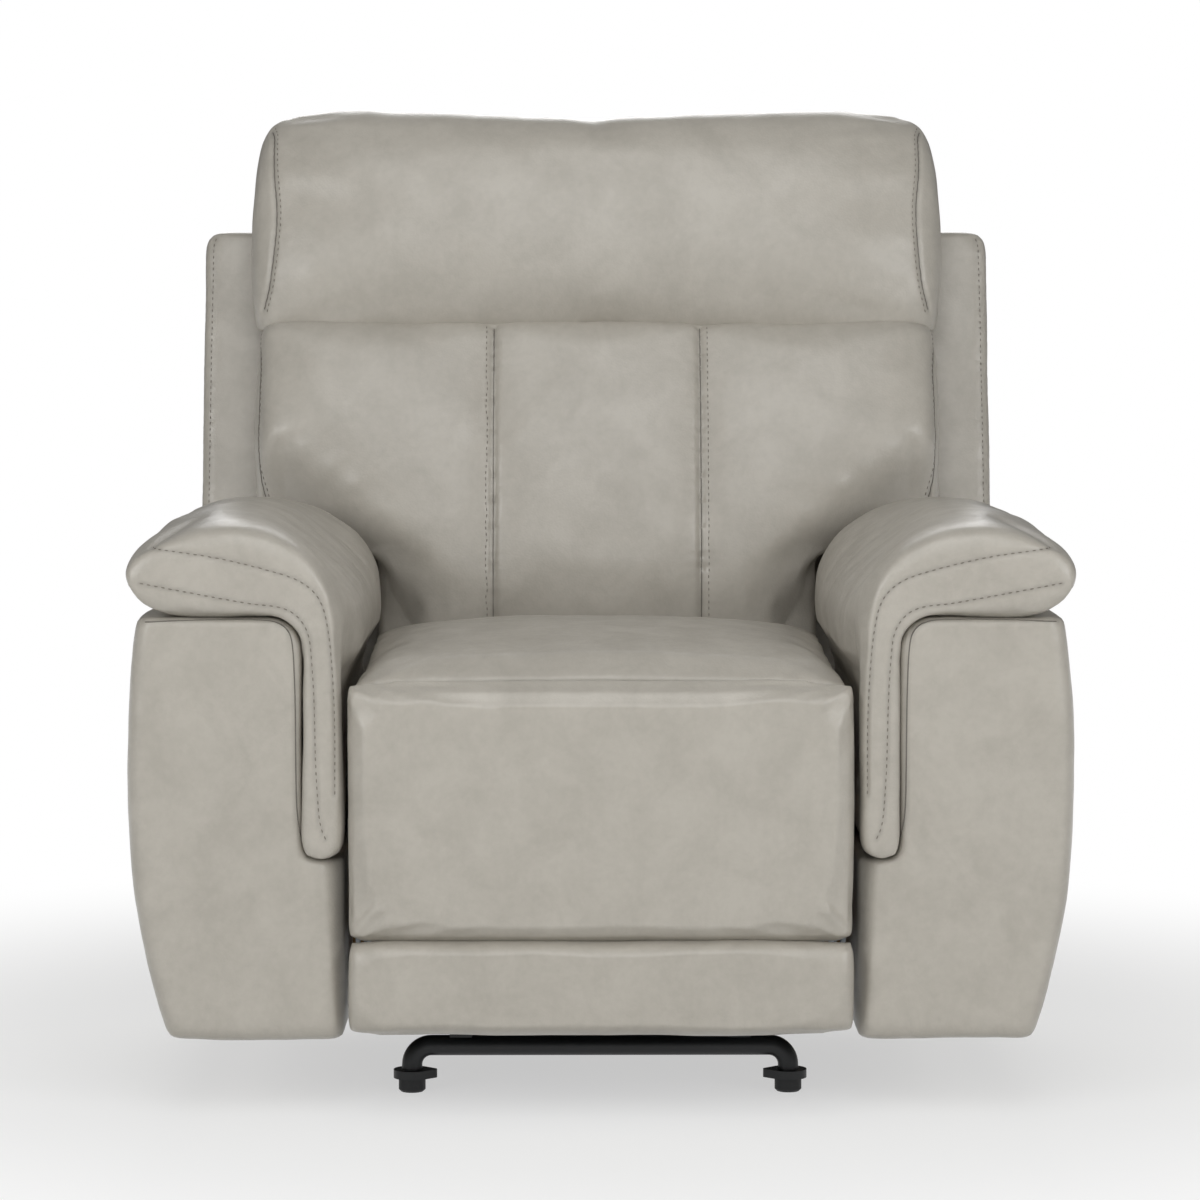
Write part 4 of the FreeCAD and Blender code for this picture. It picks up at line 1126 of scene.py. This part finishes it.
@dataclass
class ArmUpholstery:
    """One arm: a rolled pad over the top and down the inner front edge, and the arm's own cover."""

    finish: bpy.types.Material
    side: str
    sign: float
    front_mm: float = -480.0
    # How far the pad leans in over the seat, squares its strip and widens its leg.
    lean_mm: float = 10.0
    square_mm: float = 12.0
    widen_mm: float = 3.5
    # The pad rests on the arm outside this x and below this height, and all of its lower leg does.
    rest_x_mm: float = 330.0
    rest_z_mm: float = 529.0
    leg_z_mm: float = 440.0

    def front_seam(self, line: Sequence[tuple[float, float]], **sewn: Any) -> Seam:
        """A sewn line on the arm's front.

        Args:
            line: Its points as (x, z) on the right arm, in millimetres.
            **sewn: The seam's own values.

        Returns:
            The seam on this arm.
        """
        path = tuple((self.sign * x, self.front_mm, z) for x, z in line)
        return Seam(path, aim=(0.0, 1.0, 0.0), **sewn)

    def pad(self) -> bpy.types.Object:
        """The pad, with the two sewn lines of its front strip."""
        sewn = {"width_mm": 3.0, "stitch_mm": (0.0,), "gather_mm": 0.1, "has_shade_cord": False}
        seams = [
            self.front_seam(line, depth_mm=depth, **sewn)
            for line, depth in ((PAD_UPPER_LINE, 1.2), (PAD_LOWER_LINE, 0.4))
        ]

        def rests(co: np.ndarray) -> np.ndarray:
            """Marks the underside that lies on the arm, and the face against the arm's inner wall."""
            x = np.abs(co[:, 0]) / MM
            under = (co[:, 2] / MM < self.rest_z_mm) & (x > self.rest_x_mm)
            return under | (co[:, 2] / MM < self.leg_z_mm)

        def rolled(own: np.ndarray) -> np.ndarray:
            """Leans the pad in over the seat, and squares its strip between arm and footrest."""
            x, y, z = np.abs(own[:, 0]), own[:, 1], own[:, 2]
            lean = rise(x, 330.0, 268.0) * rise(y, -480.0, -390.0)
            lean *= rise(z, 462.0, 482.0) * rise(z, 640.0, 580.0)
            leg = rise(z, 530.0, 470.0)
            squared = rise(x, 308.0, 272.0) * leg * rise(y, -440.0, -470.0)
            wide = rise(x, 288.0, 300.0) * rise(z, 512.0, 492.0) * leg
            moved = self.widen_mm * wide - self.lean_mm * lean - self.square_mm * squared
            own[:, 0] += self.sign * moved
            return own

        return SoftPiece(
            "arm_pad_cover_" + self.side,
            "arm_pad_" + self.side,
            "chair",
            self.finish,
            tuple(seams),
            held=rests,
            fit=self.pad_box(),
            shape=rolled,
            voxel=0.0065,
            soften=14,
            calm=6,
            seed=41,
            shrink=0.006,
            pressure=3.0,
            cap=0.009,
            fill=0.8,
        ).build()

    def pad_box(self) -> tuple[Point, Point]:
        """The room that the pad fills, in millimetres."""
        low, high = (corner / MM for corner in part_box("arm_pad_" + self.side))
        return (tuple(low), tuple(high))

    def shell(self) -> bpy.types.Object:
        """The leather stretched over the arm's body."""

        def clear_of_cup(own: np.ndarray) -> np.ndarray:
            """Keeps the cover behind the release cup's rim."""
            low, high = (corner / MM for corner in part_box("release_cup"))
            margin, rim = 2.0, 3.0
            around = (own[:, 1] > low.y - margin) & (own[:, 1] < high.y + margin)
            around &= (own[:, 2] > low.z - margin) & (own[:, 2] < high.z + margin)
            own[around, 0] = np.maximum(own[around, 0], low.x + rim)
            return own

        welt = self.front_seam(PANEL_WELT_LINE, depth_mm=0.8, width_mm=2.0, stitch_mm=(), gather_mm=0.0)
        return SoftPiece(
            "arm_cover_" + self.side,
            "arm_shell_" + self.side,
            "chair",
            self.finish,
            (welt,),
            shape=clear_of_cup if self.sign < 0 else None,
            cap=0.0,
            swell_mm=0.6,
            soften=12,
            subdivide=False,
            seed=51,
            fill=0.95,
        ).build()

    def build(self) -> None:
        """Builds the arm's two pieces."""
        self.pad()
        self.shell()


@dataclass
class SeatUpholstery:
    """The seat cushion with the sewn line along its rolled front."""

    finish: bpy.types.Material
    half_mm: float = 262.0
    room_mm: float = 267.0
    fall_mm: float = 17.0
    spread_mm: float = 9.0
    base: float = 0.362
    box: tuple[Point, Point] = ((-266.0, -466.0, 354.0), (266.0, 108.0, 500.0))
    seam_y_mm: float = -452.0
    seam_z_mm: float = 452.0

    def build(self) -> None:
        """Builds the seat."""
        places = (-255.0, -150.0, 0.0, 150.0, 255.0)
        path = tuple((x, self.seam_y_mm, self.seam_z_mm) for x in places)
        seam = Seam(path, depth_mm=2.0, width_mm=4.0, stitch_mm=(-5.0,))

        def crowned(own: np.ndarray) -> np.ndarray:
            """Lets the top fall towards both sides and fill the room up to the arms."""
            share = rise(own[:, 2], 400.0, 490.0)
            own[:, 2] -= self.fall_mm * (np.abs(own[:, 0]) / self.half_mm) ** 2.6 * share
            beside = rise(np.abs(own[:, 0]), 190.0, 250.0)
            out = np.abs(own[:, 0]) + self.spread_mm * beside * rise(own[:, 2], 440.0, 470.0)
            own[:, 0] = np.sign(own[:, 0]) * np.minimum(out, self.room_mm)
            return own

        SoftPiece(
            "seat_cover",
            "seat_cushion",
            "chair",
            self.finish,
            (seam,),
            held=lambda co: co[:, 2] < self.base,
            fit=self.box,
            shape=crowned,
            voxel=0.007,
            cap=0.010,
            calm=6,
            seed=61,
            fill=0.75,
        ).build()


@dataclass
class FootrestUpholstery:
    """The tall upper pad and the narrow lower pad of the footrest."""

    finish: bpy.types.Material
    half_mm: float = 263.0
    face_mm: float = -504.0
    back_mm: float = -473.0
    held_from: float = -0.478

    def build(self) -> None:
        """Builds both pads."""
        for place, low, high, seed in (("upper", 184.0, 459.0, 71), ("lower", 86.0, 189.0, 72)):

            def boxed(own: np.ndarray, low: float = low, high: float = high) -> np.ndarray:
                """Keeps the face flat up to a small roll along its edges."""
                roll, lip, depth = 15.0, 5.0, self.back_mm - self.face_mm
                near = np.minimum(own[:, 2] - low, high - own[:, 2])
                full = np.ones(len(own))
                for gap in (self.half_mm - np.abs(own[:, 0]), near):
                    full *= np.sqrt(1.0 - (1.0 - rise(gap, -lip, roll - lip)) ** 2)
                ahead = np.clip((self.back_mm - own[:, 1]) / (0.7 * depth), 0.0, 1.0)
                slack = np.clip(own[:, 1] - self.face_mm, 0.0, 5.0) * 0.3
                own[:, 1] = self.back_mm - (depth - slack) * full * ahead
                return own

            SoftPiece(
                "footrest_%s_cover" % place,
                "footrest_%s_pad" % place,
                "footrest",
                self.finish,
                (),
                held=lambda co: co[:, 1] > self.held_from,
                fit=((-self.half_mm, self.face_mm, low), (self.half_mm, self.back_mm, high)),
                shape=boxed,
                seed=seed,
                voxel=0.006,
                shrink=0.003,
                pressure=2.0,
                cap=0.005,
                swell_mm=0.6,
                soften=5,
                fill=0.85,
            ).build()


@dataclass
class Stitching:
    """Rows of stitches and dark cords of painted seam shade: meshes grown along the soft pieces' lines.
    """

    thread: bpy.types.Material
    # The darker leather of the cords of painted seam shade.
    edge: bpy.types.Material
    pitch: float = 0.0075
    length: float = 0.0042
    thick: float = 0.0012
    # Radius of the cords of painted seam shade.
    shade_cord_radius: float = 0.0007

    def begin(self, name: str, values: dict[str, float]) -> tuple[bpy.types.NodeTree, Any, Socket]:
        """Starts a node tree that grows a mesh along lines.

        Args:
            name: The tree's name.
            values: Its number inputs with their first values.

        Returns:
            The tree, its inputs and the lines as a curve.
        """
        tree = bpy.data.node_groups.new(name, "GeometryNodeTree")
        face = tree.interface
        face.new_socket("Lines", in_out="INPUT", socket_type="NodeSocketGeometry")
        for key, value in values.items():
            face.new_socket(key, in_out="INPUT", socket_type="NodeSocketFloat").default_value = value
        face.new_socket("Finish", in_out="INPUT", socket_type="NodeSocketMaterial")
        face.new_socket("Mesh", in_out="OUTPUT", socket_type="NodeSocketGeometry")
        given = add_node(tree, "NodeGroupInput").outputs
        curve = add_node(tree, "GeometryNodeMeshToCurve", {"Mesh": given["Lines"]})
        return tree, given, curve.outputs[0]

    def end(self, tree: bpy.types.NodeTree, grown: Socket, finish: Socket) -> bpy.types.NodeTree:
        """Ends such a tree: what has grown becomes one mesh with its finish."""
        real = add_node(tree, "GeometryNodeRealizeInstances", {0: grown})
        dressed = {"Geometry": real.outputs[0], "Material": finish}
        done = add_node(tree, "GeometryNodeSetMaterial", dressed)
        add_node(tree, "NodeGroupOutput", {0: done.outputs[0]})
        return tree

    def stitch_tree(self, values: dict[str, float]) -> bpy.types.NodeTree:
        """The node tree that lays a stitch at every step along a line."""
        tree, given, curve = self.begin("stitch_rows", values)
        spaced = {"Curve": curve, "Length": given["Pitch"]}
        steps = add_node(tree, "GeometryNodeResampleCurve", spaced, mode="LENGTH")
        round_mesh = {"Segments": 6, "Rings": 4, "Radius": 0.5}
        ball = add_node(tree, "GeometryNodeMeshUVSphere", round_mesh)
        thick = given["Thickness"]
        sizes = {"X": thick, "Y": thick, "Z": given["Length"]}
        size = add_node(tree, "ShaderNodeCombineXYZ", sizes)
        way = {"Vector": add_node(tree, "GeometryNodeInputTangent").outputs[0]}
        turn = add_node(tree, "FunctionNodeAlignRotationToVector", way, axis="Z")
        laid = {
            "Points": steps.outputs[0],
            "Instance": ball.outputs[0],
            "Rotation": turn.outputs[0],
            "Scale": size.outputs[0],
        }
        rows = add_node(tree, "GeometryNodeInstanceOnPoints", laid)
        return self.end(tree, rows.outputs[0], given["Finish"])

    def shade_cord_tree(self, values: dict[str, float]) -> bpy.types.NodeTree:
        """The node tree that runs a thin dark cord along a line: painted shade in a seam's groove."""
        tree, given, curve = self.begin("seam_folds", values)
        outline = {"Resolution": 6, "Radius": given["Radius"]}
        ring = add_node(tree, "GeometryNodeCurvePrimitiveCircle", outline)
        swept = {"Curve": curve, "Profile Curve": ring.outputs[0], "Fill Caps": True}
        edge = add_node(tree, "GeometryNodeCurveToMesh", swept)
        return self.end(tree, edge.outputs[0], given["Finish"])

    def grow(
        self, name: str, rows: list[np.ndarray], body: str, tree: bpy.types.NodeTree, given: dict
    ) -> None:
        """Grows one mesh along the lines of a body.

        Args:
            name: The new piece's name.
            rows: The lines, each an array of points in metres.
            body: The body that carries them.
            tree: The node tree that does it.
            given: Values of the tree's named inputs.
        """
        sockets = {s.name: s.identifier for s in tree.interface.items_tree if s.in_out == "INPUT"}
        points, edges = [], []
        for row in rows:
            first = len(points)
            points.extend(row.tolist())
            edges.extend((first + i, first + i + 1) for i in range(len(row) - 1))
        mesh = bpy.data.meshes.new(name)
        mesh.from_pydata(points, edges, [])
        thing = link_object(name, mesh)
        modifier = thing.modifiers.new("grow", "NODES")
        modifier.node_group = tree
        for key, value in given.items():
            modifier[sockets[key]] = value
        baked(thing)
        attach(thing, body)
        log.info("%s: %d faces", name, len(thing.data.polygons))

    def build(self) -> None:
        """Builds the stitches and the dark cords of painted seam shade of every body."""
        stitch = {"Pitch": self.pitch, "Length": self.length, "Thickness": self.thick}
        shade_cord_radius = {"Radius": self.shade_cord_radius}
        jobs = (
            ("stitching_", STITCHES, self.stitch_tree(stitch), {**stitch, "Finish": self.thread}),
            ("seam_folds_", SHADE_CORDS, self.shade_cord_tree(shade_cord_radius), {**shade_cord_radius, "Finish": self.edge}),
        )
        for prefix, kept, tree, given in jobs:
            for body, rows in sorted(kept.items()):
                self.grow(prefix + body, rows, body, tree, given)


# Frame finishes


@dataclass
class FrameFinishes:
    """Gives each solid that stays in view the finish of its real material."""

    def build(self) -> None:
        """Dresses the steel, the boards, the webbing and the plastic pieces."""
        powder, zinc = PowderCoat().build(), ZincSteel().build()
        boards = {grain: Plywood(grain).build() for grain in Grain}
        webbing, plastic = Webbing().build(), MouldedPlastic().build()
        rules = (
            (("base_", "glide_post", "hanger_plate", "drive_tube"), powder),
            (("glide_link", "mechanism_plate", "drive_link", "front_link"), zinc),
            (("guide_link", "lift_link", "footrest_bracket", "back_post"), zinc),
            (("seat_side_rail", "arm_inner_panel"), boards[Grain.ALONG_Y]),
            (("seat_rear_rail",), boards[Grain.ALONG_X]),
            (("seat_front_rail", "rear_lower_panel", "footrest_board"), DustCloth().build()),
            (("back_bottom_rail", "back_top_rail"), boards[Grain.ALONG_X]),
            (("back_stile",), boards[Grain.ALONG_Z]),
            (("seat_webbing", "back_webbing"), webbing),
            (("foot_glide", "release_cup", "release_handle"), plastic),
        )
        for name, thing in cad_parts.items():
            for prefixes, finish in rules:
                if name.startswith(prefixes):
                    thing.data.materials.clear()
                    thing.data.materials.append(finish)


@dataclass
class Studio:
    """The pale floor, the soft lamps and the camera at the photograph's angle."""

    camera_mm: Point = (-30.5, -4600.0, 830.0)
    pitch: float = 0.0698
    yaw: float = 0.0071
    focal_px: float = 3995.0
    image_px: float = 1200.0
    sensor_mm: float = 36.0
    # The floor shows its shadows up to the first distance and is plain white from the second.
    shadow_m: float = 0.6
    white_m: float = 1.5
    near_white: float = 0.55
    floor_m: float = 30.0
    lamp_aim_m: Point = (0.0, -0.1, 0.5)
    surround: float = 0.16

    def build(self) -> None:
        """Sets up the stage."""
        scene = bpy.context.scene
        scene.view_settings.view_transform = "Standard"
        lens = bpy.data.cameras.new("camera")
        lens.sensor_width = self.sensor_mm
        lens.lens = self.focal_px / self.image_px * self.sensor_mm
        camera = bpy.data.objects.new("camera", lens)
        camera.location = Vector(self.camera_mm) * MM
        camera.rotation_euler = (math.pi / 2 - self.pitch, 0.0, -self.yaw)
        scene.collection.objects.link(camera)
        scene.camera = camera
        self.floor()
        self.lamps()
        self.world()

    def floor(self) -> None:
        """A wide pale floor with the chair's shadows, which turns plain white further out."""
        tree, shader, place = new_material("studio_floor")
        shader.inputs["Base Color"].default_value = linear("#F2F2F1")
        shader.inputs["Roughness"].default_value = 0.9
        shader.inputs["Specular IOR Level"].default_value = 0.1
        path = add_node(tree, "ShaderNodeLightPath")
        seen = path.outputs["Is Camera Ray"]
        for ray in ("Is Glossy Ray", "Is Transmission Ray"):
            either = {0: seen, 1: path.outputs[ray]}
            seen = add_node(tree, "ShaderNodeMath", either, operation="MAXIMUM").outputs[0]
        far = add_node(tree, "ShaderNodeVectorMath", {0: place}, operation="LENGTH")
        fade = add_node(
            tree,
            "ShaderNodeMapRange",
            {0: far.outputs["Value"], 1: self.shadow_m, 2: self.white_m, 3: self.near_white, 4: 1.0},
            interpolation_type="SMOOTHSTEP",
        )
        share = add_node(tree, "ShaderNodeMath", {0: fade.outputs[0], 1: seen}, operation="MULTIPLY")
        white = add_node(tree, "ShaderNodeEmission", {"Color": WHITE, "Strength": 1.0})
        mixed = {0: share.outputs[0], 1: shader.outputs[0], 2: white.outputs[0]}
        mix = add_node(tree, "ShaderNodeMixShader", mixed)
        out = next(node for node in tree.nodes if node.type == "OUTPUT_MATERIAL")
        tree.links.new(mix.outputs[0], out.inputs["Surface"])
        mesh = bpy.data.meshes.new("floor")
        reach = self.floor_m
        corners = [(-reach, -reach, 0), (reach, -reach, 0), (reach, reach, 0), (-reach, reach, 0)]
        mesh.from_pydata(corners, [], [(0, 1, 2, 3)])
        mesh.materials.append(bpy.data.materials["studio_floor"])
        link_object("floor", mesh)

    def lamps(self) -> None:
        """A large soft box behind the camera, one at each side, one above and one behind the chair."""
        places = (
            ("front_box", (0.0, -3.8, 2.4), 2.4, 31.0),
            ("left_box", (-2.7, -3.0, 1.7), 1.6, 37.0),
            ("right_box", (2.7, -3.0, 1.7), 1.6, 37.0),
            ("top_box", (0.0, -2.0, 3.1), 2.0, 22.0),
            ("rear_box", (0.0, 3.2, 2.4), 2.0, 40.0),
        )
        for name, place, width, power in places:
            lamp = bpy.data.lights.new(name, "AREA")
            lamp.shape = "SQUARE"
            lamp.size = width
            lamp.energy = power
            thing = bpy.data.objects.new(name, lamp)
            thing.location = place
            way = Vector(self.lamp_aim_m) - Vector(place)
            thing.rotation_euler = way.to_track_quat("-Z", "Y").to_euler()
            bpy.context.scene.collection.objects.link(thing)

    def world(self) -> None:
        """A soft grey surround that the camera sees as white, also through clear pieces."""
        world = bpy.data.worlds.new("studio")
        bpy.context.scene.world = world
        world.use_nodes = True
        tree = world.node_tree
        tree.nodes.clear()
        path = add_node(tree, "ShaderNodeLightPath")
        seen = add_node(
            tree,
            "ShaderNodeMath",
            {0: path.outputs["Is Camera Ray"], 1: path.outputs["Is Transmission Ray"]},
            operation="MAXIMUM",
        )
        shades = {0: seen.outputs[0]}
        for number, strength in enumerate((self.surround, 1.0), 1):
            given = {"Color": WHITE, "Strength": strength}
            shades[number] = add_node(tree, "ShaderNodeBackground", given).outputs[0]
        mix = add_node(tree, "ShaderNodeMixShader", shades)
        add_node(tree, "ShaderNodeOutputWorld", {"Surface": mix.outputs[0]})


def main() -> None:
    """Builds the studio, the finishes and every soft piece in order."""
    Studio().build()
    FrameFinishes().build()
    leather = Leather().build()
    BackUpholstery(leather).build()
    for side, sign in SIDES:
        ArmUpholstery(leather, side, sign).build()
    SeatUpholstery(leather).build()
    FootrestUpholstery(leather).build()
    # A darker leather colour for the cords of painted shade in the seams' grooves.
    edge = Thread("seam_shade_leather", colour="#5E5A54", pale="#7A766E").build()
    Stitching(Thread().build(), edge).build()


if __name__ == "__main__":
    main()
